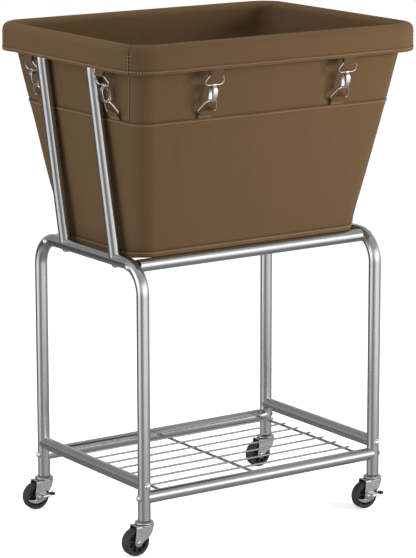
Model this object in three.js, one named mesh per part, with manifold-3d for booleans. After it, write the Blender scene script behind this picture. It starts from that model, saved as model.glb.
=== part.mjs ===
// Laundry sorter on wheels: a canvas hamper on a bolted tube frame with a wire shelf and four casters.
// Millimetres, +Z up, +X along the long side, -Y the front. The origin is on the floor, below the middle.
import * as THREE from 'three';
import { mergeVertices } from 'three/addons/utils/BufferGeometryUtils.js';
import Module from 'manifold-3d';

const wasm = await Module();
wasm.setup();

// ---- Driving dimensions ----
const GAP = 0.3;                 // clearance between pieces that touch

const TUBE_R = 11.9;             // 23.8 mm (15/16 in) frame tube
const TUBE_WALL = 1.2;
const TUBE_SIDES = 12;

const LEG_X = 265.8;             // leg axes, half spacings
const LEG_Y = 179.6;
const LEG_BOTTOM_Z = 65;
const FRAME_TOP_Z = 540.7;       // axis of the bent end frames' top run
const FRAME_BEND_R = 53;

const TOP_RAIL_Y = 146;          // front and back rails that carry the bag
const TOP_RAIL_Z = 536.9;
const LOWER_LONG_Z = 107.2;      // lower front and back rails
const LOWER_SIDE_Z = 131.1;      // lower left and right rails

const RIM_HALF_X = 311.2;         // rim tube axis, inside the folded cuff
const RIM_HALF_Y = 235.9;
const RIM_Z = 938.9;
const RIM_CORNER_R = 42;
const CORNER_STEPS = 5;          // facets round each corner of the rim and the bag

const POST_Y = 87;
const POST_LEAN = 0.133;         // outward run per unit of height
const POST_BEND_R = 150;

const CLOTH = 1.4;               // the cuff's canvas
const FOLD_R = TUBE_R + 2 * GAP; // inside of the cuff's fold, clear of the rim tube
const BAG_BOTTOM_Z = 548.4;      // resting on the top rails
const BAG_BOTTOM_HALF_X = 247;
const BAG_BOTTOM_HALF_Y = 146;
const BAG_BOTTOM_CORNER_R = 34;
const BAG_SHOULDER_Z = 895;      // where the taper meets the rim
const BAG_SHOULDER_HALF_X = 297.5;
const BAG_SHOULDER_HALF_Y = 222.5;
const BAG_WALL = 2;
const CUFF_BOTTOM_Z = 900.7;
const BOARD_THICK = 4;           // stiff floor board inside the bag
const BOARD_INSET = 7;           // its clearance from the bag's inner walls

const SHELF_LONG_R = 1.75;       // thin wires along X
const SHELF_CROSS_R = 2.5;       // thick wires along Y, below them
const SHELF_LONG_COUNT = 8;
const SHELF_LONG_PITCH = 42.3;
const SHELF_LONG_HALF = 232;
const SHELF_LONG_Z = 118.5;
const SHELF_CROSS_Z = 114.4;
const SHELF_CROSS_XS = [-226, -15, 226];

const WHEEL_R = 26.5;            // nominal 2 in wheel
const WHEEL_HALF_WIDTH = 9.2;
const HUB_HALF_WIDTH = 9.7;
const AXLE_R = 3;
const CASTER_TRAIL = 19.9;       // the axle sits this far from the swivel axis, towards -X
const FORK_INNER_Y = 10.4;
const FORK_OUTER_Y = 12.2;
const FORK_TOP_Z = 58.5;
const FORK_SHEET = 2;
const FORK_BACK_X = -24;         // trailing edge of the fork's top plate
const FORK_LOBE_R = 7.5;         // round end of each side plate, about the axle
const RACE_R = 18;               // raceway between the fork and the leg
const RACE_GAP = 0.4;
const SLEEVE_LENGTH = 33;        // expanding sleeve inside the leg
const AXLE_HEAD_R = 5;
const AXLE_HEAD_DEPTH = 2.6;
const BRAKE_INNER_Y = 12.7;
const BRAKE_OUTER_Y = 14.2;
const BRAKE_FLANGE_Y = 21.5;
const BRAKE_BOSS_R = 6;
const FLANGE_LENGTH = 18;        // bent top edge of the brake's arm
const FLANGE_X = 13.5;
const FLANGE_Z = 3.8;
const FLANGE_SHEET = 1.6;
const TOE_LENGTH = 12;           // moulded toe cap on the arm's end
const TOE_X = 26.5;
const TOE_Z = 3.6;
const TOE_THICK = 5;

const FRONT_HOOK_XS = [-149, 149];
const SIDE_HOOK_YS = [-129, 120];
const EYE_WIRE_R = 1.3;          // D-shaped eye that hangs in each strap
const EYE_HALF_WIDTH = 20;
const EYE_TOP_Z = 891;
const EYE_BAR_Z = 872;
const EYE_TOP_INSET = 3;         // inward from the cuff's outer face
const EYE_BAR_INSET = 11.6;
const HOOK_WIDTH = 8.5;
const HOOK_TILT = THREE.MathUtils.degToRad(13);
const GATE_WIDTH = 6;

// ---- Materials ----
const metal = (color, roughness) => new THREE.MeshStandardMaterial({ color, roughness, metalness: 1 });
const matte = (color, roughness) => new THREE.MeshStandardMaterial({ color, roughness, metalness: 0 });
const tubeSteel = metal(0xa6a9ac, 0.32);
const shelfWire = metal(0x9a9d9f, 0.35);
const zinc = metal(0xb4b4b0, 0.4);
const nickel = metal(0xe2ded6, 0.12);
const rubber = matte(0x1c1c1d, 0.6);
const canvas = matte(0x6a5338, 0.9);
const board = matte(0x4a3b2a, 0.85);

// ---- Geometry helpers ----
function toSolid(geometry) {
  const bare = geometry.clone();
  bare.deleteAttribute('normal');
  bare.deleteAttribute('uv');
  const merged = mergeVertices(bare, 1e-4);
  return new wasm.Manifold(new wasm.Mesh({
    numProp: 3,
    vertProperties: new Float32Array(merged.attributes.position.array),
    triVerts: new Uint32Array(merged.index.array),
  }));
}

function toGeometry(solid) {
  const mesh = solid.getMesh();
  const geometry = new THREE.BufferGeometry();
  geometry.setAttribute('position', new THREE.BufferAttribute(mesh.vertProperties, 3));
  geometry.setIndex(new THREE.BufferAttribute(mesh.triVerts, 1));
  geometry.computeVertexNormals();
  return geometry;
}

function cut(geometry, cutters) {
  return toGeometry(cutters.reduce((solid, cutter) => solid.subtract(toSolid(cutter)), toSolid(geometry)));
}

function join(geometries) {
  return toGeometry(geometries.map(toSolid).reduce((sum, solid) => sum.add(solid)));
}

// A curve given by stations, so that a swept tube has rings only where its bends need them.
class Route extends THREE.Curve {
  constructor(stations) {
    super();
    this.stations = stations;
  }

  at(u) {
    const last = this.stations.length - 1;
    return this.stations[Math.min(last, Math.round(u * last))];
  }

  getPoint(u, target = new THREE.Vector3()) {
    return target.copy(this.at(u).point);
  }

  getPointAt(u, target) {
    return this.getPoint(u, target);
  }

  getTangentAt(u, target = new THREE.Vector3()) {
    return target.copy(this.at(u).tangent);
  }
}

// Stations along straight runs joined by round bends at the inner corners.
function bentRoute(corners, bendRadius, stepsPerBend) {
  const points = corners.map((corner) => new THREE.Vector3(...corner));
  const directions = points.slice(1).map((point, i) => point.clone().sub(points[i]).normalize());
  const stations = [{ point: points[0], tangent: directions[0] }];
  for (let i = 1; i < points.length - 1; i += 1) {
    const along = directions[i - 1];
    const next = directions[i];
    const angle = along.angleTo(next);
    const side = next.clone().addScaledVector(along, -along.dot(next)).normalize();
    const start = points[i].clone().addScaledVector(along, -bendRadius * Math.tan(angle / 2));
    for (let step = 0; step <= stepsPerBend; step += 1) {
      const turned = (angle * step) / stepsPerBend;
      const point = start.clone()
        .addScaledVector(along, bendRadius * Math.sin(turned))
        .addScaledVector(side, bendRadius * (1 - Math.cos(turned)));
      const tangent = along.clone().multiplyScalar(Math.cos(turned)).addScaledVector(side, Math.sin(turned));
      stations.push({ point, tangent });
    }
  }
  stations.push({ point: points[points.length - 1], tangent: directions[directions.length - 1] });
  return new Route(stations);
}

// A round bar or, with a wall, a hollow tube swept along a route.
function sweep(route, radius, wall = 0, sides = TUBE_SIDES) {
  const section = new THREE.Shape().absarc(0, 0, radius, 0, Math.PI * 2);
  if (wall > 0) section.holes.push(new THREE.Path().absarc(0, 0, radius - wall, 0, Math.PI * 2));
  return new THREE.ExtrudeGeometry(section, {
    extrudePath: route,
    steps: route.stations.length - 1,
    curveSegments: sides / 2,
    bevelEnabled: false,
  });
}

function straightTube(from, to) {
  return sweep(bentRoute([from, to], 0, 1), TUBE_R, TUBE_WALL);
}

function straightCutter(from, to) {
  return sweep(bentRoute([from, to], 0, 1), TUBE_R + GAP);
}

// A flat outline in the XZ plane, given thickness between two Y values.
function plateXZ(shape, yLow, yHigh, curveSegments = 5) {
  const geometry = new THREE.ExtrudeGeometry(shape, { depth: yHigh - yLow, bevelEnabled: false, curveSegments });
  geometry.rotateX(Math.PI / 2);
  geometry.translate(0, yHigh, 0);
  return geometry;
}

function pinAlongY(radius, yLow, yHigh, sides = 12) {
  const geometry = new THREE.CylinderGeometry(radius, radius, yHigh - yLow, sides);
  geometry.translate(0, (yLow + yHigh) / 2, 0);
  return geometry;
}

const group = new THREE.Group();

function addMesh(name, geometry, material, parent = group) {
  const mesh = new THREE.Mesh(geometry, material);
  mesh.name = name;
  parent.add(mesh);
  return mesh;
}

// ---- Tube frame ----
function endFrameRoute(x) {
  return bentRoute([
    [x, -LEG_Y, LEG_BOTTOM_Z],
    [x, -LEG_Y, FRAME_TOP_Z],
    [x, LEG_Y, FRAME_TOP_Z],
    [x, LEG_Y, LEG_BOTTOM_Z],
  ], FRAME_BEND_R, 6);
}

function rimRoute(side) {
  const jointX = side * GAP;
  return bentRoute([
    [jointX, -RIM_HALF_Y, RIM_Z],
    [side * RIM_HALF_X, -RIM_HALF_Y, RIM_Z],
    [side * RIM_HALF_X, RIM_HALF_Y, RIM_Z],
    [jointX, RIM_HALF_Y, RIM_Z],
  ], RIM_CORNER_R, CORNER_STEPS);
}

function legCutter(x, y) {
  return straightCutter([x, y, LEG_BOTTOM_Z], [x, y, FRAME_TOP_Z - FRAME_BEND_R]);
}

const sideSigns = { left: -1, right: 1 };
const frontSigns = { front: -1, back: 1 };

for (const [sideName, side] of Object.entries(sideSigns)) {
  const x = side * LEG_X;
  addMesh(`${sideName}_end_frame`, sweep(endFrameRoute(x), TUBE_R, TUBE_WALL), tubeSteel);
  addMesh(`${sideName}_rim_tube`, sweep(rimRoute(side), TUBE_R, TUBE_WALL), tubeSteel);
  addMesh(`${sideName}_lower_rail`, cut(
    straightTube([x, -LEG_Y, LOWER_SIDE_Z], [x, LEG_Y, LOWER_SIDE_Z]),
    [legCutter(x, -LEG_Y), legCutter(x, LEG_Y)],
  ), tubeSteel);
}

for (const [frontName, front] of Object.entries(frontSigns)) {
  const lowerY = front * LEG_Y;
  addMesh(`${frontName}_lower_rail`, cut(
    straightTube([-LEG_X, lowerY, LOWER_LONG_Z], [LEG_X, lowerY, LOWER_LONG_Z]),
    [legCutter(-LEG_X, lowerY), legCutter(LEG_X, lowerY)],
  ), tubeSteel);
  const topY = front * TOP_RAIL_Y;
  addMesh(`${frontName}_top_rail`, cut(
    straightTube([-LEG_X, topY, TOP_RAIL_Z], [LEG_X, topY, TOP_RAIL_Z]),
    [sweep(endFrameRoute(-LEG_X), TUBE_R + GAP), sweep(endFrameRoute(LEG_X), TUBE_R + GAP)],
  ), tubeSteel);
}

// Each post stands on the end frame, leans out with the bag and turns upright below the rim tube.
function post(side, front) {
  const y = front * POST_Y;
  const saddle = 3;              // how far the shaped ends stop short of the crossing tube's axis
  const kneeZ = FRAME_TOP_Z + TUBE_R + (RIM_HALF_X - LEG_X) / POST_LEAN;
  const footX = LEG_X - (TUBE_R - saddle) * POST_LEAN;
  const route = bentRoute([
    [side * footX, y, FRAME_TOP_Z + saddle],
    [side * RIM_HALF_X, y, kneeZ],
    [side * RIM_HALF_X, y, RIM_Z - saddle],
  ], POST_BEND_R, 3);
  const nearY = y - 2 * TUBE_R;
  const farY = y + 2 * TUBE_R;
  return cut(sweep(route, TUBE_R, TUBE_WALL), [
    straightCutter([side * LEG_X, nearY, FRAME_TOP_Z], [side * LEG_X, farY, FRAME_TOP_Z]),
    straightCutter([side * RIM_HALF_X, nearY, RIM_Z], [side * RIM_HALF_X, farY, RIM_Z]),
  ]);
}

for (const [sideName, side] of Object.entries(sideSigns)) {
  for (const [frontName, front] of Object.entries(frontSigns)) {
    addMesh(`${frontName}_${sideName}_post`, post(side, front), tubeSteel);
  }
}

// ---- Wire shelf: thin wires welded across three thick ones that end on the long lower rails ----
function wireShelf() {
  const wireSides = 6;
  const wires = [];
  for (let i = 0; i < SHELF_LONG_COUNT; i += 1) {
    const y = (i - (SHELF_LONG_COUNT - 1) / 2) * SHELF_LONG_PITCH;
    const route = bentRoute([[-SHELF_LONG_HALF, y, SHELF_LONG_Z], [SHELF_LONG_HALF, y, SHELF_LONG_Z]], 0, 1);
    wires.push(sweep(route, SHELF_LONG_R, 0, wireSides));
  }
  for (const x of SHELF_CROSS_XS) {
    const route = bentRoute([[x, -LEG_Y, SHELF_CROSS_Z], [x, LEG_Y, SHELF_CROSS_Z]], 0, 1);
    wires.push(sweep(route, SHELF_CROSS_R, 0, wireSides));
  }
  const railCutters = [-1, 1].map((front) => straightCutter(
    [-LEG_X, front * LEG_Y, LOWER_LONG_Z],
    [LEG_X, front * LEG_Y, LOWER_LONG_Z],
  ));
  return cut(join(wires), railCutters);
}

addMesh('wire_shelf', wireShelf(), shelfWire);

// ---- Canvas bag: tapered walls, a flat floor, and a cuff folded down outside the rim tube ----
function roundedLoop({ halfX, halfY, corner, z }, stepsPerCorner) {
  const loop = [];
  const centres = [[1, 1], [-1, 1], [-1, -1], [1, -1]];
  centres.forEach(([signX, signY], quarter) => {
    for (let step = 0; step <= stepsPerCorner; step += 1) {
      const angle = (Math.PI / 2) * (quarter + step / stepsPerCorner);
      loop.push([
        signX * (halfX - corner) + corner * Math.cos(angle),
        signY * (halfY - corner) + corner * Math.sin(angle),
        z,
      ]);
    }
  });
  return loop;
}

// A closed skin through a list of loops, with a fan at each end.
function loft(sections) {
  const loops = sections.map((section) => roundedLoop(section, CORNER_STEPS));
  const count = loops[0].length;
  const positions = loops.flat(2);
  const index = [];
  for (let row = 0; row < loops.length - 1; row += 1) {
    for (let i = 0; i < count; i += 1) {
      const a = row * count + i;
      const b = row * count + ((i + 1) % count);
      index.push(a, b, b + count, a, b + count, a + count);
    }
  }
  const firstCentre = positions.length / 3;
  positions.push(0, 0, sections[0].z, 0, 0, sections[sections.length - 1].z);
  const lastRow = (loops.length - 1) * count;
  for (let i = 0; i < count; i += 1) {
    const next = (i + 1) % count;
    index.push(firstCentre, next, i, firstCentre + 1, lastRow + i, lastRow + next);
  }
  const geometry = new THREE.BufferGeometry();
  geometry.setAttribute('position', new THREE.Float32BufferAttribute(positions, 3));
  geometry.setIndex(index);
  geometry.computeVertexNormals();
  return geometry;
}

function wallSection(z, inset) {
  const up = (z - BAG_BOTTOM_Z) / (BAG_SHOULDER_Z - BAG_BOTTOM_Z);
  return {
    halfX: THREE.MathUtils.lerp(BAG_BOTTOM_HALF_X, BAG_SHOULDER_HALF_X, up) - inset,
    halfY: THREE.MathUtils.lerp(BAG_BOTTOM_HALF_Y, BAG_SHOULDER_HALF_Y, up) - inset,
    corner: THREE.MathUtils.lerp(BAG_BOTTOM_CORNER_R, RIM_CORNER_R - TUBE_R, up) - inset,
    z,
  };
}

function rimSection(offset, z) {
  return { halfX: RIM_HALF_X + offset, halfY: RIM_HALF_Y + offset, corner: RIM_CORNER_R + offset, z };
}

// The fold over the rim tube, from the inner side to the outer side.
function foldSections(radius, steps) {
  return Array.from({ length: steps + 1 }, (_, i) => {
    const angle = Math.PI * (1 - i / steps);
    return rimSection(radius * Math.cos(angle), RIM_Z + radius * Math.sin(angle));
  });
}

function canvasBag() {
  const foldOuter = FOLD_R + CLOTH;
  const foldSteps = 6;
  const floorInset = 5;
  return loft([
    wallSection(BAG_BOTTOM_Z, floorInset),
    wallSection(BAG_BOTTOM_Z + floorInset, 0),
    wallSection(BAG_SHOULDER_Z, 0),
    ...foldSections(FOLD_R, foldSteps),
    rimSection(FOLD_R, CUFF_BOTTOM_Z),
    rimSection(foldOuter, CUFF_BOTTOM_Z),
    ...foldSections(foldOuter, foldSteps).reverse(),
    wallSection(BAG_SHOULDER_Z, BAG_WALL),
    wallSection(BAG_BOTTOM_Z + floorInset, BAG_WALL),
    wallSection(BAG_BOTTOM_Z + BAG_WALL, BAG_WALL + floorInset),
  ]);
}

function floorBoard() {
  const low = BAG_BOTTOM_Z + BAG_WALL + GAP;
  const outline = wallSection(BAG_BOTTOM_Z, BAG_WALL + BOARD_INSET);
  return loft([{ ...outline, z: low }, { ...outline, z: low + BOARD_THICK }]);
}

addMesh('canvas_bag', canvasBag(), canvas);
addMesh('floor_board', floorBoard(), board);

// ---- Casters ----
// Domed raceway, flange and expanding sleeve, turned about the leg's axis.
function casterStem() {
  const sleeveR = TUBE_R - TUBE_WALL - 2 * GAP;
  const sleeveTaper = 2;
  const baseZ = FORK_TOP_Z + RACE_GAP;
  const seatZ = LEG_BOTTOM_Z - GAP;
  const topZ = seatZ + SLEEVE_LENGTH;
  const profile = [
    [0, baseZ], [RACE_R - 1.4, baseZ], [RACE_R, baseZ + 1.2], [RACE_R - 2.5, seatZ - 1.2],
    [TUBE_R, seatZ], [sleeveR, seatZ], [sleeveR, topZ - sleeveTaper], [sleeveR - sleeveTaper, topZ], [0, topZ],
  ];
  const geometry = new THREE.LatheGeometry(profile.map(([r, z]) => new THREE.Vector2(r, z)), 12);
  geometry.rotateX(Math.PI / 2);
  return geometry;
}

// Side plate in the XZ plane: wide under the top plate, narrowing to a round lobe at the axle.
function forkSide() {
  const shape = new THREE.Shape();
  shape.moveTo(13.5, FORK_TOP_Z);
  shape.lineTo(FORK_BACK_X + 1, FORK_TOP_Z);
  shape.lineTo(-CASTER_TRAIL - FORK_LOBE_R, WHEEL_R + 1);
  shape.absarc(-CASTER_TRAIL, WHEEL_R, FORK_LOBE_R, Math.PI, Math.PI * 1.75, false);
  shape.lineTo(-4.6, 29.6);
  shape.lineTo(2.4, 34.7);
  shape.lineTo(10.4, 45);
  shape.closePath();
  return shape;
}

function casterFork() {
  const shape = forkSide();
  const nose = { x: 4, radius: 13, halfAngle: Math.PI * 0.42 };
  const plate = new THREE.Shape();
  plate.moveTo(FORK_BACK_X, -FORK_OUTER_Y);
  plate.lineTo(2 * nose.x, -FORK_OUTER_Y);
  plate.absarc(nose.x, 0, nose.radius, -nose.halfAngle, nose.halfAngle, false);
  plate.lineTo(2 * nose.x, FORK_OUTER_Y);
  plate.lineTo(FORK_BACK_X, FORK_OUTER_Y);
  plate.closePath();
  const top = new THREE.ExtrudeGeometry(plate, { depth: FORK_SHEET, bevelEnabled: false, curveSegments: 6 });
  top.translate(0, 0, FORK_TOP_Z - FORK_SHEET);
  const hole = pinAlongY(AXLE_R + GAP, -FORK_OUTER_Y - 1, FORK_OUTER_Y + 1);
  hole.translate(-CASTER_TRAIL, 0, WHEEL_R);
  return cut(join([
    top,
    plateXZ(shape, -FORK_OUTER_Y, -FORK_INNER_Y),
    plateXZ(shape, FORK_INNER_Y, FORK_OUTER_Y),
  ]), [hole]);
}

// Bolt head, shank and nut as one turned piece along Y.
function casterAxle(frontHeadY) {
  const backHeadY = FORK_OUTER_Y + GAP;
  const frontEnd = -frontHeadY - AXLE_HEAD_DEPTH;
  const backEnd = backHeadY + AXLE_HEAD_DEPTH;
  const profile = [
    [0, frontEnd], [AXLE_HEAD_R, frontEnd], [AXLE_HEAD_R, -frontHeadY], [AXLE_R, -frontHeadY],
    [AXLE_R, backHeadY], [AXLE_HEAD_R, backHeadY], [AXLE_HEAD_R, backEnd], [0, backEnd],
  ];
  return new THREE.LatheGeometry(profile.map(([r, y]) => new THREE.Vector2(r, y)), 10);
}

// Half the wheel's outline as [radius, y]: bore, hub, recessed web, rim and rounded tread.
function casterWheel() {
  const webY = 6.5;
  const half = [
    [AXLE_R + GAP, HUB_HALF_WIDTH], [7.5, HUB_HALF_WIDTH], [8.5, webY], [18.6, webY],
    [20.4, WHEEL_HALF_WIDTH - 0.3], [24.2, WHEEL_HALF_WIDTH], [WHEEL_R, 5.6],
  ];
  const mirrored = half.map(([r, y]) => [r, -y]).reverse();
  const profile = [...half, ...mirrored, half[0]].reverse();
  return new THREE.LatheGeometry(profile.map(([r, y]) => new THREE.Vector2(r, y)), 20);
}

// Stamped side brake: a crescent skirt, a boss on the axle and a flanged toe lever, about the axle.
function brakeLever() {
  const skirt = new THREE.Shape();
  skirt.moveTo(-24, -2.6);
  skirt.quadraticCurveTo(-14, -6.4, -6.2, -3.2);
  skirt.absarc(0, 0, BRAKE_BOSS_R, Math.PI * 1.1, Math.PI * 0.35, true);
  skirt.lineTo(22, 4.6);
  skirt.lineTo(22, 1.4);
  skirt.lineTo(18.5, -1);
  skirt.quadraticCurveTo(11, -11.8, -3, -12.4);
  skirt.quadraticCurveTo(-15, -12.6, -24, -2.6);
  const flangeDepth = BRAKE_FLANGE_Y - BRAKE_INNER_Y;
  const flangeY = -(BRAKE_FLANGE_Y + BRAKE_INNER_Y) / 2;
  const flange = new THREE.BoxGeometry(FLANGE_LENGTH, flangeDepth, FLANGE_SHEET);
  flange.translate(FLANGE_X, flangeY, FLANGE_Z);
  const toe = new THREE.BoxGeometry(TOE_LENGTH, flangeDepth + 1.2, TOE_THICK);
  toe.translate(TOE_X, flangeY, TOE_Z);
  const hole = pinAlongY(AXLE_R + GAP, -BRAKE_FLANGE_Y, 0);
  return cut(join([plateXZ(skirt, -BRAKE_OUTER_Y, -BRAKE_INNER_Y, 4), flange, toe]), [hole]);
}

// Brakes are on one diagonal pair, the front right and back left casters.
function addCaster(name, x, y, hasBrake) {
  const place = new THREE.Group();
  place.position.set(x, y, 0);
  group.add(place);
  addMesh(`${name}_caster_stem`, casterStem(), zinc, place);
  addMesh(`${name}_caster_fork`, casterFork(), zinc, place);
  const axlePlace = new THREE.Group();
  axlePlace.position.set(-CASTER_TRAIL, 0, WHEEL_R);
  place.add(axlePlace);
  addMesh(`${name}_caster_axle`, casterAxle((hasBrake ? BRAKE_OUTER_Y : FORK_OUTER_Y) + GAP), zinc, axlePlace);
  addMesh(`${name}_caster_wheel`, casterWheel(), rubber, axlePlace);
  if (hasBrake) addMesh(`${name}_brake_lever`, brakeLever(), nickel, axlePlace);
}

for (const [sideName, side] of Object.entries(sideSigns)) {
  for (const [frontName, front] of Object.entries(frontSigns)) {
    addCaster(`${frontName}_${sideName}`, side * LEG_X, front * LEG_Y, side === -front);
  }
}

// ---- Snap hooks that hold the cuff down, drawn with +X along the wall, -Y outward and +Z up ----
// Wire eye: a D in its own XZ plane, narrower where the strap's loop holds it, with its bar at the bottom.
function hookEye() {
  const height = Math.hypot(EYE_TOP_Z - EYE_BAR_Z, EYE_BAR_INSET - EYE_TOP_INSET);
  const lowCorner = 8;
  const highCorner = 4;
  const highCentreX = EYE_HALF_WIDTH - 11;   // the top is narrower than the bar's end
  const lowCentreX = EYE_HALF_WIDTH - lowCorner;
  const lean = 0.35;
  const outline = new THREE.Path();
  outline.moveTo(-lowCentreX, 0);
  outline.absarc(lowCentreX, lowCorner, lowCorner, -Math.PI / 2, lean, false);
  outline.absarc(highCentreX, height - highCorner, highCorner, lean, Math.PI / 2, false);
  outline.absarc(-highCentreX, height - highCorner, highCorner, Math.PI / 2, Math.PI - lean, false);
  outline.absarc(-lowCentreX, lowCorner, lowCorner, Math.PI - lean, Math.PI * 1.5, false);
  const ringSteps = 18;
  const points = outline.getSpacedPoints(ringSteps).slice(0, -1).map(({ x, y }) => new THREE.Vector3(x, 0, y));
  const ring = new THREE.CatmullRomCurve3(points, true);
  return new THREE.TubeGeometry(ring, ringSteps, EYE_WIRE_R, 5, true);
}

// Strip bent to an open oval below a pierced neck; u is outward from the wall, v is up.
function snapBody() {
  const shape = new THREE.Shape();
  shape.moveTo(-3.6, 0);
  shape.absarc(0, 0, 3.6, Math.PI, 0, true);
  shape.quadraticCurveTo(9.2, -4.5, 9.2, -17);
  shape.quadraticCurveTo(9.2, -33, 0, -33);
  shape.quadraticCurveTo(-6.6, -33, -8.3, -25.4);
  shape.lineTo(-6.3, -25);
  shape.quadraticCurveTo(-4.8, -31, 0, -31);
  shape.quadraticCurveTo(7.2, -31, 7.2, -17);
  shape.quadraticCurveTo(7.2, -8, 2.5, -6);
  shape.lineTo(-3.2, -6);
  shape.closePath();
  shape.holes.push(new THREE.Path().absarc(0, 0, EYE_WIRE_R + GAP + 0.25, 0, Math.PI * 2));
  return shape;
}

// Spring gate: hangs from the neck and closes on the hook's nose.
function snapGate() {
  const shape = new THREE.Shape();
  shape.moveTo(-3.2, -7);
  shape.lineTo(-5.2, -7);
  shape.quadraticCurveTo(-8.8, -13, -8.6, -24);
  shape.lineTo(-7, -24);
  shape.quadraticCurveTo(-6.9, -13, -3.2, -8.8);
  shape.closePath();
  return shape;
}

function stripAcross(shape, width, curveSegments) {
  const geometry = new THREE.ExtrudeGeometry(shape, { depth: width, bevelEnabled: false, curveSegments });
  geometry.translate(0, 0, -width / 2);
  const outward = new THREE.Vector3(0, -1, 0);
  const up = new THREE.Vector3(0, 0, 1);
  geometry.applyMatrix4(new THREE.Matrix4().makeBasis(outward, up, outward.clone().cross(up)));
  return geometry;
}

function addHook(name, wallAngle, along, faceDistance) {
  const wall = new THREE.Group();
  wall.rotation.z = wallAngle;
  group.add(wall);
  const place = new THREE.Group();
  place.position.set(along, -(faceDistance - EYE_BAR_INSET), EYE_BAR_Z);
  wall.add(place);
  const eye = addMesh(`${name}_hook_eye`, hookEye(), nickel, place);
  eye.rotation.x = Math.atan2(EYE_BAR_INSET - EYE_TOP_INSET, EYE_TOP_Z - EYE_BAR_Z);
  const hanging = new THREE.Group();
  hanging.rotation.x = HOOK_TILT;
  place.add(hanging);
  addMesh(`${name}_snap_hook`, stripAcross(snapBody(), HOOK_WIDTH, 4), nickel, hanging);
  addMesh(`${name}_snap_gate`, stripAcross(snapGate(), GATE_WIDTH, 3), nickel, hanging);
}

const cuffFace = FOLD_R + CLOTH;
const walls = [
  { name: 'front', angle: 0, alongs: FRONT_HOOK_XS, face: RIM_HALF_Y + cuffFace },
  { name: 'back', angle: Math.PI, alongs: FRONT_HOOK_XS.map((x) => -x), face: RIM_HALF_Y + cuffFace },
  { name: 'left', angle: -Math.PI / 2, alongs: SIDE_HOOK_YS.map((y) => -y), face: RIM_HALF_X + cuffFace },
  { name: 'right', angle: Math.PI / 2, alongs: SIDE_HOOK_YS, face: RIM_HALF_X + cuffFace },
];
for (const { name, angle, alongs, face } of walls) {
  alongs.forEach((along, i) => addHook(`${name}_${i + 1}`, angle, along, face));
}

export default group;
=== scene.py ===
"""Looks for the laundry sorter on wheels: canvas bag, tube frame, wire shelf, snap hooks and casters.

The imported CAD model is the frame. Shapes are worked out in millimetres from its boxes and become metres
in add_mesh(). +Z is up, +X runs along the long side and -Y is the front.
"""
import math

import bmesh
import bpy
import numpy as np
from mathutils import Matrix, Vector, noise


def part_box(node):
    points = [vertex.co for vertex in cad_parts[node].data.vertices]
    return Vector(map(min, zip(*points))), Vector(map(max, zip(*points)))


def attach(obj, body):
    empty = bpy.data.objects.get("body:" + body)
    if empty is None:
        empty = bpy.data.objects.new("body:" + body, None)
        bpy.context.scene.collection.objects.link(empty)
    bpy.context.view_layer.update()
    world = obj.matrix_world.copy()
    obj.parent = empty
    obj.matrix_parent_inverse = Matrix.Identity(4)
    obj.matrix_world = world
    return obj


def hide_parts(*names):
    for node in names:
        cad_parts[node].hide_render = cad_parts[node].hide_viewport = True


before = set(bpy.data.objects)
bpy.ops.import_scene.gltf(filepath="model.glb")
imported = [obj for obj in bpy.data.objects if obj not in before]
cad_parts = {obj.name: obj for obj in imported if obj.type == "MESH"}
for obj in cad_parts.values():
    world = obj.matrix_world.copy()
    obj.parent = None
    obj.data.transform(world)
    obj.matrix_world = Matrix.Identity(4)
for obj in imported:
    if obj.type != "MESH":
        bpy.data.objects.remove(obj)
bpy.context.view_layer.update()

MM = 0.001
SIDES = {"left": -1, "right": 1}
FRONTS = {"front": -1, "back": 1}


def box_mm(node):
    low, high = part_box(node)
    return np.array(low) / MM, np.array(high) / MM


# ---- Sizes read from the frame, in millimetres ----
end_low, end_high = box_mm("right_end_frame")
TUBE_R = (end_high[0] - end_low[0]) / 2
LEG_X = (end_high[0] + end_low[0]) / 2
LEG_Y = end_high[1] - TUBE_R
LEG_BOTTOM = end_low[2]
FRAME_TOP = end_high[2] - TUBE_R
LOWER_LONG_Z = np.mean(box_mm("front_lower_rail"), axis=0)[2]
LOWER_SIDE_Z = np.mean(box_mm("left_lower_rail"), axis=0)[2]
TOP_RAIL_Y, TOP_RAIL_Z = np.mean(box_mm("back_top_rail"), axis=0)[1:]
rim_low, rim_high = box_mm("right_rim_tube")
RIM_X = rim_high[0] - TUBE_R
RIM_Y = rim_high[1] - TUBE_R
RIM_Z = (rim_low[2] + rim_high[2]) / 2
POST_Y = np.mean(box_mm("back_right_post"), axis=0)[1]
BAG_BOTTOM = box_mm("canvas_bag")[0][2]
wheel_low, wheel_high = box_mm("front_right_caster_wheel")
WHEEL_R = (wheel_high[2] - wheel_low[2]) / 2
TRAIL = LEG_X - (wheel_high[0] + wheel_low[0]) / 2
BRAKED = [name for name in ("front_left", "front_right", "back_left", "back_right")
          if name + "_brake_lever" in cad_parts]

# ---- Sizes that the boxes don't give, in millimetres ----
TUBE_WALL = 1.2
TUBE_SIDES = 40                  # points round a tube
OPEN_DEPTH = 14                  # how far an open tube end can be looked into
FRAME_BEND_R = 53
RIM_CORNER_R = 42
POST_LEAN = 0.133                # outward for each millimetre up
POST_BEND_R = 150
BAG_BOTTOM_HALF = (247, 146)
BAG_BOTTOM_CORNER = 34
BAG_SHOULDER_Z = 895
BAG_SHOULDER_HALF = (297.5, 222.5)
BAG_WALL = 2
CUFF_BOTTOM = 900.7
CLOTH = 1.4
FOLD_R = TUBE_R + 0.6
SEAM_Z = 807
BASE_LINE_Z = BAG_BOTTOM + 11
HEM_LINE_Z = CUFF_BOTTOM + 5
COPE_GAP = 0.15                  # between a coped end and the tube it meets
SHELF_WIRE_GAP = 42.3
BOARD_CORNER = 27

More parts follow.
